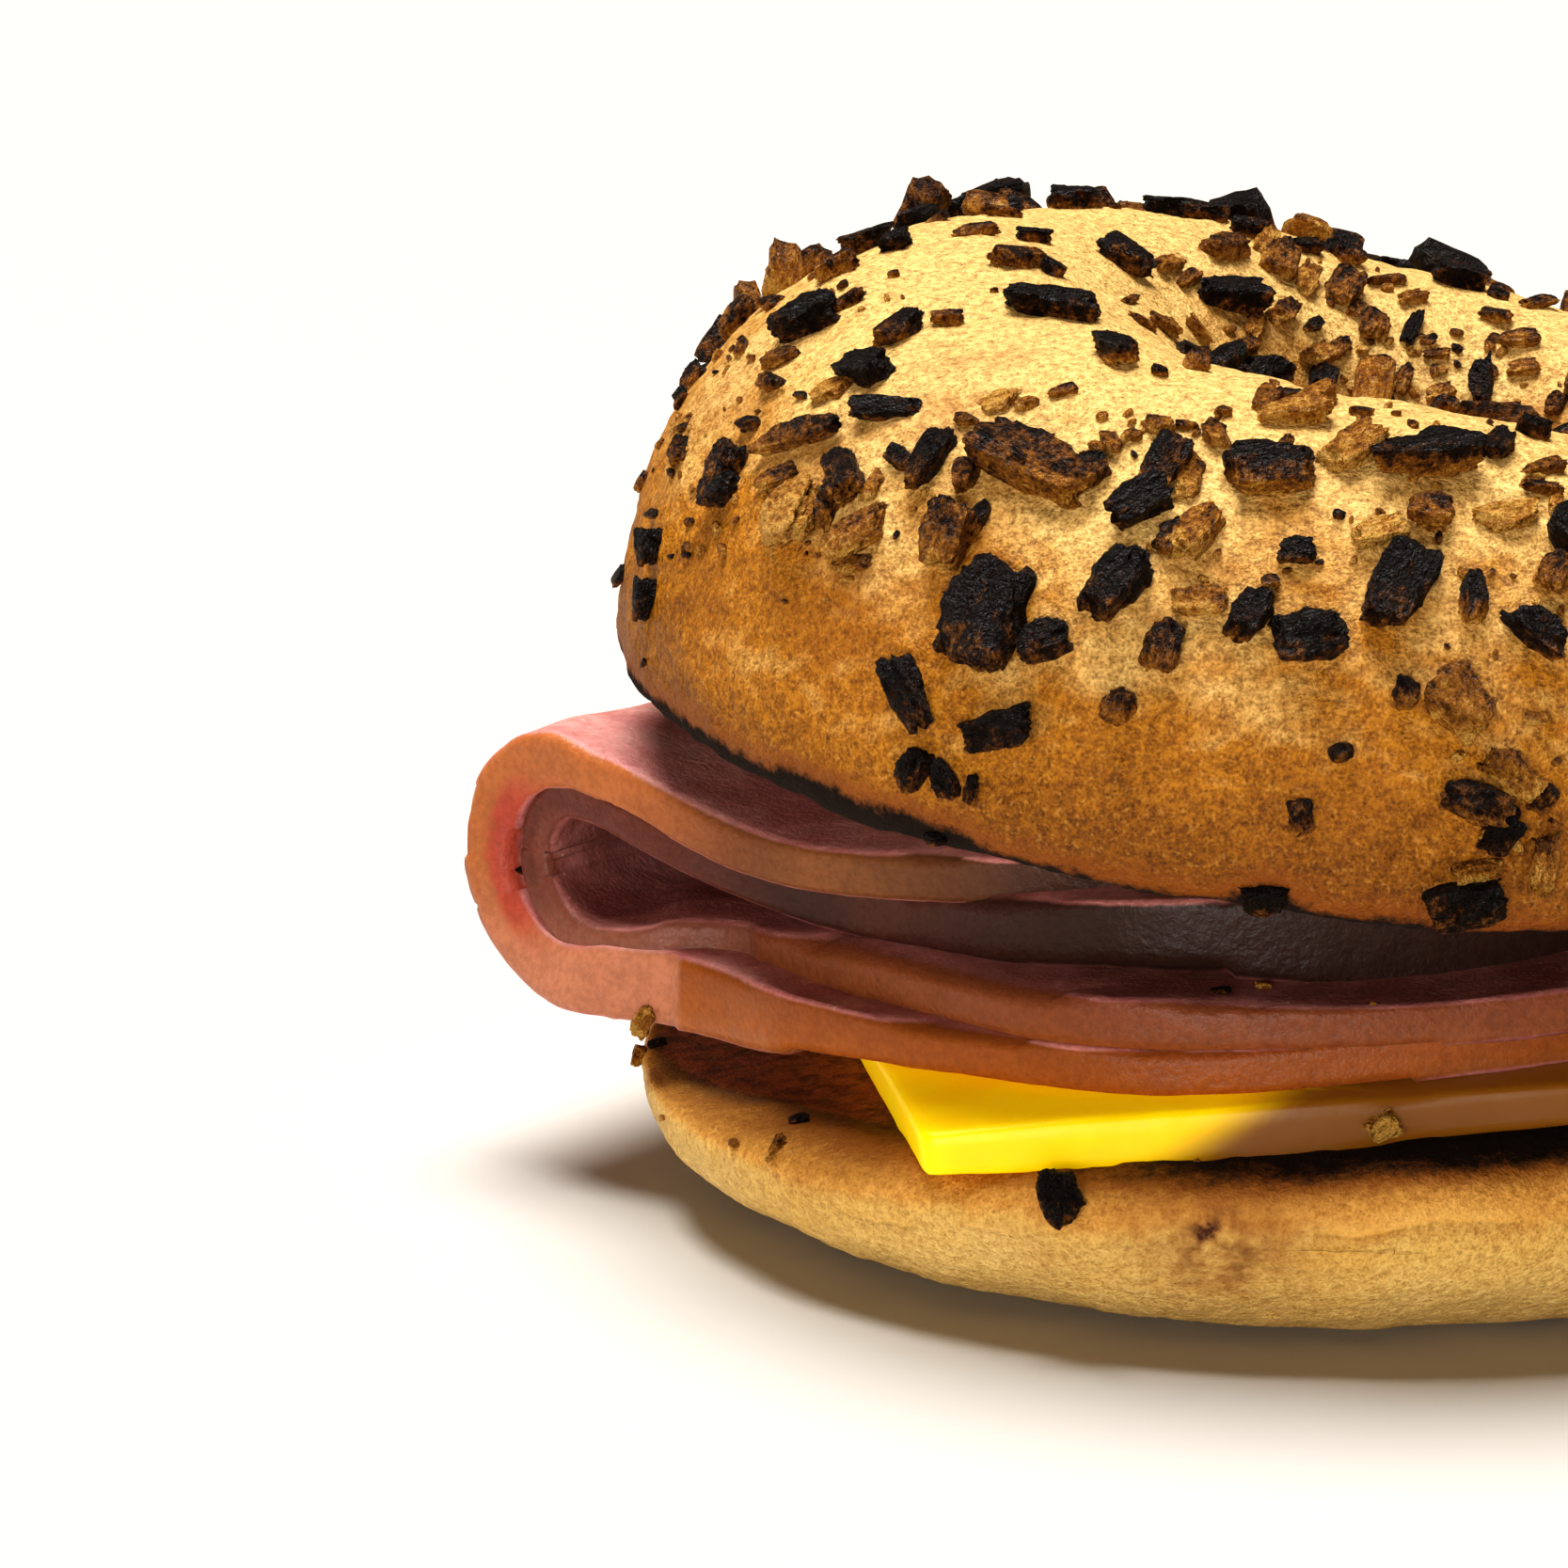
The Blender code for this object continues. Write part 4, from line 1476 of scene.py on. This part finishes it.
    def seen(self, places: np.ndarray, normals: np.ndarray) -> np.ndarray:
        """Tells which places the photograph shows.

        Args:
            places: Points on the bread.
            normals: The bread's normals there.

        Returns:
            True for each one that faces the camera inside the photograph.
        """
        u, _ = self.view.pixels(places)
        towards = ((places - np.array(self.view.place)) * normals).sum(axis=1) < 0
        return (u < PHOTO_SIDE + self.photo_edge) & towards

    def scatter(self) -> None:
        """Lays flakes where the photograph doesn't show the crust, as thickly as where it does."""
        draw = random.Random(self.unseen_seed)
        places, normals = vertex_places(self.bread), vertex_normals(self.bread)
        depth = np.empty(len(places), np.float32)
        self.bread.data.attributes["under_rim"].data.foreach_get("value", depth)
        weight = smooth_step(normals[:, 2], *self.unseen_facing)
        weight *= smooth_step(depth, self.rim_clearance, 2 * self.rim_clearance)
        weight[self.seen(places, normals)] = 0
        total = np.cumsum(weight)
        tones = [Tone.BLACK] * 5 + [Tone.SINGED] * 4 + [Tone.DARK] * 4 + [Tone.BROWN] * 5 + [Tone.GOLDEN] * 3
        shapes = [Shape.BLOCK] * 6 + [Shape.SHARD] * 2 + [Shape.PLATE] * 3 + [Shape.NUGGET] * 2
        for _ in range(self.unseen):
            number = int(np.searchsorted(total, draw.uniform(0, total[-1])))
            long = draw.triangular(*self.unseen_mm) * MM
            wide = long * draw.uniform(*self.unseen_wide)
            flake = Flake(0, 0, long, wide, draw.uniform(0, 180), draw.choice(tones), draw.choice(shapes))
            self.lay(Vector(places[number]), Vector(normals[number]), flake, draw, False)


def join_parts(parts: list, name: str, finish: bpy.types.Material, slot: str) -> bpy.types.Object:
    """Joins small parts into one finished piece.

    Args:
        parts: The parts, each with its place in its mesh.
        name: The piece's name.
        finish: Its material.
        slot: Not used; it is only passed on to finish_piece.

    Returns:
        The joined piece.
    """
    pick(*parts)
    bpy.ops.object.join()
    piece = parts[0]
    piece.name = piece.data.name = name
    finish_piece(piece, finish, slot)
    pick(piece)
    bpy.ops.object.shade_smooth_by_angle(angle=SMOOTH_TURN)
    return piece


# Short names for the table below, from charred to pale. A flake there is a block where no shape is given.
B, S, D, W, G, P = Tone.BLACK, Tone.SINGED, Tone.DARK, Tone.BROWN, Tone.GOLDEN, Tone.PALE
SHARD, PLATE, NUGGET = Shape.SHARD, Shape.PLATE, Shape.NUGGET


def shown_flakes() -> list[Flake]:
    """The flakes that the photograph shows: column, row, length and width in mm, angle, tone, and shape."""
    rows: list[tuple] = [
        # Along the skyline, from left to right.
        (703, 420, 1.5, 1.0, 20, W), (720, 394, 2.3, 1.9, -70, S), (775, 335, 3.6, 2.9, 20, W),
        (812, 316, 2.0, 1.0, 10, W, SHARD), (891, 290, 3.4, 2.6, 10, W), (925, 264, 4.4, 2.6, 5, D),
        (955, 262, 2.2, 2.4, 10, B), (1036, 248, 3.6, 1.1, 0, W, SHARD), (1066, 229, 3.2, 1.3, 12, W),
        (1142, 222, 4.3, 3.2, -3, S), (1185, 222, 1.0, 0.8, 0, W, NUGGET), (1240, 215, 4.0, 2.4, -6, B),
        (1278, 232, 4.2, 2.4, -12, D), (1328, 248, 3.4, 2.3, -5, D), (1300, 268, 3.8, 2.6, 10, W),
        (1357, 282, 3.0, 3.2, 80, W), (1388, 265, 2.6, 1.8, -10, D), (1428, 275, 3.2, 3.0, 80, S),
        (1426, 312, 3.2, 3.0, 60, W), (1474, 301, 3.2, 1.1, 8, W, SHARD), (1548, 303, 4.8, 3.2, -5, D),
        (1592, 316, 1.8, 1.2, -20, D, NUGGET), (1640, 322, 2.6, 1.4, 0, W),
        # The top, behind the crest and round the hole.
        (1099, 256, 2.8, 1.7, 0, D), (1083, 280, 3.9, 2.1, 5, W), (1117, 290, 1.9, 1.8, -50, D),
        (1193, 280, 4.4, 3.0, -38, D), (1117, 331, 6.8, 3.1, -7, B), (1186, 380, 3.0, 2.8, -40, S),
        (1201, 321, 2.0, 0.7, 20, W, SHARD), (1236, 346, 2.8, 1.8, 0, W, PLATE),
        (1308, 320, 5.6, 3.6, -17, B), (1262, 300, 2.2, 1.4, 30, W), (1270, 391, 1.9, 1.9, 80, W, NUGGET),
        (1395, 347, 1.4, 1.2, 30, D), (1343, 397, 3.6, 2.9, 0, B), (1320, 372, 2.6, 1.6, 20, W),
        (1376, 446, 5.4, 2.6, 3, G), (1365, 425, 3.0, 1.4, 10, D), (1402, 405, 1.8, 2.4, 80, D),
        (1466, 388, 2.1, 1.4, 0, D), (1458, 350, 2.2, 2.6, 70, W, PLATE),
        (1501, 352, 3.0, 1.4, 62, B, SHARD), (1548, 356, 1.0, 0.8, 0, W, NUGGET),
        (1526, 378, 2.2, 1.0, 5, W), (1575, 412, 4.0, 2.0, 86, B, SHARD), (1616, 365, 3.2, 2.0, 0, W),
        (1620, 393, 2.6, 1.6, 0, G), (1655, 432, 1.8, 1.6, 60, W), (1447, 440, 1.7, 0.9, -5, W, NUGGET),
        (1420, 372, 2.0, 1.6, 40, W), (1440, 330, 1.8, 1.2, 50, W), (1345, 262, 3.0, 2.0, 70, G),
        (1385, 300, 3.2, 2.2, 60, G), (1362, 335, 2.6, 2.0, 40, W), (1400, 380, 3.0, 2.0, 20, G),
        (1330, 350, 2.4, 1.6, 60, G), (1458, 420, 2.6, 1.8, 30, G), (1490, 405, 2.4, 1.4, 70, W),
        (1240, 285, 2.6, 1.8, 10, G), (1215, 345, 2.6, 1.4, 20, G, PLATE), (1270, 355, 2.8, 1.6, -20, G),
        (1395, 430, 2.8, 2.0, 20, G), (1345, 430, 2.2, 1.8, 50, W), (1530, 420, 2.4, 1.6, 10, G),
        (1600, 440, 2.6, 1.6, 5, G), (1590, 340, 2.6, 1.6, -10, W), (1500, 320, 2.4, 1.6, 10, G),
        # The left shoulder.
        (862, 345, 5.2, 3.7, -18, B), (900, 326, 3.4, 1.5, 16, W), (923, 398, 3.7, 3.2, -20, B),
        (832, 386, 2.6, 1.9, 10, W), (822, 411, 1.7, 1.6, 0, W, NUGGET), (885, 416, 3.2, 1.7, 14, G, PLATE),
        (790, 371, 1.3, 1.1, 60, W, NUGGET), (821, 327, 1.1, 0.9, 0, W, NUGGET), (943, 438, 4.9, 2.0, 4, B),
        (856, 463, 6.4, 2.3, 14, W, SHARD), (776, 506, 4.6, 3.2, 62, D), (770, 524, 2.8, 2.6, 20, B),
        (724, 482, 2.2, 1.6, 80, D), (799, 453, 1.5, 1.4, 0, D, NUGGET), (726, 453, 1.6, 1.2, 30, G, PLATE),
        (692, 470, 0.9, 0.7, 60, W, NUGGET), (667, 510, 1.7, 1.0, 85, W, NUGGET),
        (697, 547, 1.4, 0.9, -10, D, NUGGET), (697, 583, 2.7, 2.5, 85, B), (691, 639, 3.2, 2.2, 80, B),
        (656, 613, 1.9, 1.1, 50, B), (686, 705, 0.7, 0.5, 60, D, NUGGET), (848, 548, 4.8, 4.2, 8, P, PLATE),
        (882, 541, 3.4, 1.6, 68, W, SHARD), (912, 570, 5.4, 3.0, 32, G, PLATE),
        (929, 518, 2.7, 1.3, 58, G, PLATE), (901, 508, 3.6, 2.8, -70, D), (828, 508, 3.4, 1.5, 22, W, PLATE),
        (908, 600, 2.4, 1.3, 10, W, PLATE), (990, 492, 4.4, 2.5, 62, B), (1029, 508, 2.1, 2.0, 80, W),
        (958, 355, 3.2, 2.4, 32, D), (1007, 343, 2.3, 1.6, 0, W), (1057, 311, 0.6, 0.6, 0, W, NUGGET),
        (960, 490, 2.0, 1.6, -30, D),
        # The front, from left to right.
        (1100, 500, 8.6, 4.6, -26, W), (1158, 505, 2.6, 2.6, 30, D), (1014, 573, 4.6, 4.1, 70, W),
        (1044, 548, 1.8, 1.5, 60, D, NUGGET), (1050, 655, 7.4, 6.6, 72, B), (1112, 682, 3.5, 3.0, 20, B),
        (1190, 625, 5.2, 3.9, 52, B), (1210, 541, 4.3, 3.4, 28, B), (1236, 500, 4.2, 2.9, 60, D),
        (1265, 508, 3.6, 1.9, 75, G, PLATE), (1270, 570, 3.9, 2.9, 50, G), (1243, 573, 2.4, 1.8, 50, D),
        (1275, 643, 3.6, 2.3, 0, G), (1236, 688, 3.4, 2.7, 70, D), (1190, 752, 2.5, 2.3, 60, W, NUGGET),
        (1064, 776, 4.9, 2.9, 16, B), (970, 738, 5.2, 2.8, 112, B), (974, 816, 2.8, 2.4, 60, B),
        (1006, 826, 3.0, 1.8, 115, B, SHARD), (1034, 838, 2.0, 1.1, 80, D, SHARD),
        (996, 889, 1.3, 1.2, 0, B, NUGGET), (1349, 510, 5.8, 4.2, 0, S),
        (1365, 477, 1.3, 1.2, 60, W, NUGGET), (1379, 588, 2.5, 2.1, -5, B), (1329, 657, 3.4, 2.8, 62, B),
        (1391, 681, 4.8, 3.9, 8, B), (1487, 628, 5.8, 4.2, 62, B), (1566, 638, 3.4, 2.1, 88, S, NUGGET),
        (1631, 672, 4.8, 2.5, -36, B, SHARD), (1517, 494, 7.6, 3.7, 3, S, SHARD),
        (1590, 480, 2.3, 2.2, 50, D), (1438, 485, 3.9, 3.2, 28, G), (1520, 551, 3.1, 3.0, -10, W),
        (1468, 570, 3.6, 2.3, 6, P), (1601, 552, 4.3, 2.4, 8, P, PLATE), (1652, 612, 2.5, 2.6, 60, W),
        (1628, 463, 2.3, 2.1, 0, D, NUGGET), (1492, 740, 2.1, 2.0, 70, D, NUGGET),
        (1550, 745, 4.6, 4.2, -48, G, PLATE), (1426, 800, 1.6, 1.3, 20, D, NUGGET),
        (1383, 868, 2.3, 1.7, 100, D), (1634, 764, 1.8, 1.0, 5, G, PLATE),
        (1350, 619, 1.2, 1.2, 0, W, NUGGET), (1566, 852, 4.6, 3.0, -20, D),
        (1606, 822, 4.0, 2.6, -40, G, PLATE), (1592, 886, 2.8, 2.5, 60, B), (1558, 958, 5.2, 3.4, 10, B),
        (1570, 925, 3.4, 1.7, 10, G), (1640, 918, 4.2, 2.0, 82, G, PLATE), (1640, 850, 2.2, 1.5, 50, D),
        # The pale flake on the top, and the small ones beside it.
        (1064, 430, 3.0, 1.9, 10, P, PLATE), (1092, 431, 1.7, 1.0, 20, G, NUGGET),
        (1130, 418, 2.0, 1.0, 15, W), (1028, 450, 1.3, 1.1, 0, W, NUGGET),
        (1183, 474, 1.9, 1.3, -65, W, NUGGET), (1206, 466, 1.1, 1.0, 0, W, NUGGET),
        (1232, 457, 2.0, 1.6, 0, G), (1232, 398, 1.2, 1.0, -20, D, NUGGET),
        (1292, 467, 1.8, 1.6, -50, W, NUGGET), (1262, 455, 1.6, 0.8, 0, W, NUGGET),
        (1299, 440, 1.0, 1.0, 0, W, NUGGET), (1640, 500, 2.6, 1.3, 10, W), (1640, 522, 2.8, 1.3, -5, W),
        # On the lower half and on the ham.
        (1129, 1278, 4.0, 3.2, -72, B, SHARD), (850, 1193, 1.5, 1.0, 10, B, NUGGET),
        (781, 1217, 0.7, 0.7, 0, G, NUGGET), (825, 1222, 2.3, 0.8, 60, G, SHARD),
        (700, 1112, 1.5, 1.1, 0, B, NUGGET), (662, 1104, 2.2, 1.7, 60, P), (678, 1128, 1.7, 1.4, 80, G),
        (706, 1188, 0.6, 0.5, 0, G, NUGGET), (1470, 1197, 2.2, 2.0, 30, P),
        (1297, 1056, 1.4, 0.8, 10, D, NUGGET), (1343, 1050, 1.1, 0.6, 0, G, NUGGET),
        (555, 926, 1.1, 0.8, 5, D, NUGGET), (1460, 1068, 0.4, 0.3, 0, P, NUGGET),
        (1272, 1235, 0.4, 0.3, 0, P, NUGGET), (1345, 955, 3.2, 2.4, 0, B, PLATE),
    ]
    return [Flake(u, v, long * MM, wide * MM, angle, *kind) for u, v, long, wide, angle, *kind in rows]


# Studio


@dataclass
class Studio:
    """A pale floor without an edge in sight, under a large soft light from above.

    A weaker soft light comes from the front, low down, and a warm glow from all round.
    """

    floor_side: float = 60.0
    floor_tone: str = "bfbab2"
    floor_gap: float = 0.02 * MM
    key_strength: float = 5.7
    key_from: Vector = field(default_factory=lambda: Vector((-0.1, 0.12, 1.0)))
    key_angle: float = 37.0
    front_strength: float = 3.0
    front_from: Vector = field(default_factory=lambda: Vector((-0.18, -1.0, 0.03)))
    front_angle: float = 28.0
    sky_tone: str = "ffc884"
    sky_low: float = 0.25
    sky_high: float = 0.05
    sky_heights: tuple = (0.05, 0.45)

    def build(self) -> None:
        """Builds the floor, the lights and the world."""
        self.floor()
        self.light("key", self.key_strength, self.key_angle, self.key_from)
        self.light("front", self.front_strength, self.front_angle, self.front_from)
        self.world()
        bpy.context.scene.view_settings.view_transform = "Standard"
        bpy.context.scene.view_settings.look = "Medium High Contrast"

    def floor(self) -> None:
        """Makes the floor."""
        bpy.ops.object.select_all(action="DESELECT")
        bpy.ops.mesh.primitive_plane_add(size=self.floor_side, location=(0, 0, -self.floor_gap))
        made = bpy.context.active_object
        made.name = "floor"
        matt, tree = new_material("Matt white board")
        skin = add_node(tree, SKIN, {"Base Color": colour(self.floor_tone), "Roughness": 0.8,
                                     "Specular IOR Level": 0.1})
        add_node(tree, SURFACE, {"Surface": skin})
        made.data.materials.append(matt)

    def light(self, name: str, strength: float, angle: float, source: Vector) -> None:
        """Makes a far, soft light.

        Args:
            name: The light's name.
            strength: Its power for each square metre.
            angle: How wide it looks from the sandwich, in degrees.
            source: The direction that it comes from.
        """
        data = bpy.data.lights.new(name, "SUN")
        data.energy = strength
        data.angle = math.radians(angle)
        made = bpy.data.objects.new(name, data)
        made.rotation_euler = source.to_track_quat("Z", "Y").to_euler()
        bpy.context.scene.collection.objects.link(made)

    def world(self) -> None:
        """Makes the surroundings: a warm glow round the horizon, dimmer above."""
        world = bpy.data.worlds.new("studio")
        bpy.context.scene.world = world
        world.use_nodes = True
        tree = world.node_tree
        tree.nodes.clear()
        node = partial(add_node, tree)
        height = node("ShaderNodeSeparateXYZ", {0: node(PLACE, out="Generated")}, out="Z")
        low, high = self.sky_heights
        strength = node(RANGE, {0: height, 1: low, 2: high, 3: self.sky_low, 4: self.sky_high}, **SOFT)
        sky = node("ShaderNodeBackground", {"Color": colour(self.sky_tone), "Strength": strength})
        node("ShaderNodeOutputWorld", {"Surface": sky})


LOWER_SCORCHES = [
    ScorchAndShadePatch(1292, 1326, 5.2 * MM, 0.75), ScorchAndShadePatch(1284, 1310, 1.6 * MM, 1.0), ScorchAndShadePatch(905, 1215, 3.4 * MM, 0.35),
    ScorchAndShadePatch(1110, 1330, 3.0 * MM, 0.2), ScorchAndShadePatch(1265, 1335, 2.6 * MM, 0.45),
]
# The patch at (1000, 445) is painted shade under the flakes there; the others are browned crust.
UPPER_SCORCHES_AND_SHADE = [
    ScorchAndShadePatch(1010, 385, 3.2 * MM, 0.3), ScorchAndShadePatch(1070, 378, 2.4 * MM, 0.3), ScorchAndShadePatch(765, 425, 5.0 * MM, 0.4),
    ScorchAndShadePatch(1000, 445, 4.0 * MM, 0.35), ScorchAndShadePatch(880, 480, 4.5 * MM, 0.3), ScorchAndShadePatch(1440, 850, 3.0 * MM, 0.25),
    ScorchAndShadePatch(1345, 955, 2.0 * MM, 0.9), ScorchAndShadePatch(900, 650, 5.0 * MM, 0.35), ScorchAndShadePatch(760, 640, 4.0 * MM, 0.2),
]
# How deep the charred rim reaches, in millimetres, after the photograph's column.
LOWER_CHARRED = [
    (690, -0.5), (780, -0.2), (850, 0.0), (950, 0.2), (1100, 0.6), (1300, 0.9), (1500, 1.1), (1667, 1.2),
]
UPPER_CHARRED = [
    (660, 2.4), (740, 2.5), (800, 2.5), (900, 2.9), (1000, 2.2), (1060, 1.4), (1300, 1.1), (1345, 2.4),
    (1400, 1.2), (1667, 1.0),
]
WRINKLES = [
    Wrinkle([(1365, 1300), (1400, 1312), (1440, 1318), (1490, 1308), (1530, 1300), (1600, 1302),
             (1667, 1298)]),
    Wrinkle([(1300, 1304), (1370, 1298), (1400, 1300)], 0.6),
    Wrinkle([(880, 1286), (930, 1300), (990, 1310)], 0.6),
    Wrinkle([(1000, 1300), (1080, 1316), (1150, 1308)], 0.5),
    Wrinkle([(1330, 1345), (1400, 1352), (1480, 1346)], 0.4),
]


def main() -> None:
    """Builds the sandwich, piece by piece, then the studio."""
    logging.basicConfig(level=logging.INFO, format="%(message)s")
    view = PhotoView()
    view.build()
    upper = ToastedCrust("Toasted bagel crust, upper", low="8a500a", golden="a0640e", bright="c4821c",
                         pale="f8ce80", painted_glint_depth=0.22)
    # The lower half's colours run the other way: palest where it faces down, partly its own paler crust and
    # partly painted light from the floor.
    lower = ToastedCrust("Toasted bagel crust, lower", low="f2cf84", golden="eac06c", bright="dea450",
                         pale="c08838", brown_below=1.2 * MM, wander=0.6 * MM, clumped=0.8 * MM,
                         shade_from="a8895c", shade_mid="dccfb6", grain_depth=0.7)
    bottom = BagelHalf("bagel_bottom", lower, LOWER_CHARRED, LOWER_SCORCHES, WRINKLES).build(view)
    cheese = CheeseSlice("cheese_slice", ProcessedCheese()).build(view)
    outer = HamSlice("ham_outer", CookedHam("Sliced cooked ham"),
                     bulge=2.0 * MM, tip_bulge=1.1 * MM, shift=0.5 * MM,
                     lifts=[Lift(-22 * MM, 12 * MM, 0.4 * MM), Lift(0, 10 * MM, -0.4 * MM)]).build()
    # The inner slice sits in the shade of the pocket and the top half: this copy of the ham has that shade
    # painted into its colours.
    shaded = CookedHam("Sliced cooked ham, darker rim", meat="ba7c74", meat_deep="985c54", rind="98582c",
                       rind_edge="b07048", rind_dark="84482a", fold="683428", fold_red="804838",
                       fold_low="96604a", upper="5c3226", upper_far_shaded="3a241c")
    inner = HamSlice("ham_inner", shaded, brown_from=-32.5 * MM, layers_at=20.5 * MM, layers_rise=0.06,
                     forward=4 * MM, tuck=0.6 * MM, lower_thicker=1.0 * MM, upper_thicker=1.8 * MM,
                     upper_forward=5 * MM, lower_down=0.9 * MM,
                     lifts=[Lift(-25 * MM, 14 * MM, 1.3 * MM), Lift(0, 12 * MM, 0.4 * MM),
                            Lift(-6 * MM, 14 * MM, 0.9 * MM, upper=True)]).build()
    top = BagelHalf("bagel_top", upper, UPPER_CHARRED, UPPER_SCORCHES_AND_SHADE).build(view)
    moulds = Moulds()
    moulds.build()
    OnionTopping(view, top, [bottom, cheese, outer, inner], moulds).build(shown_flakes())
    Studio().build()


if __name__ == "__main__":
    main()
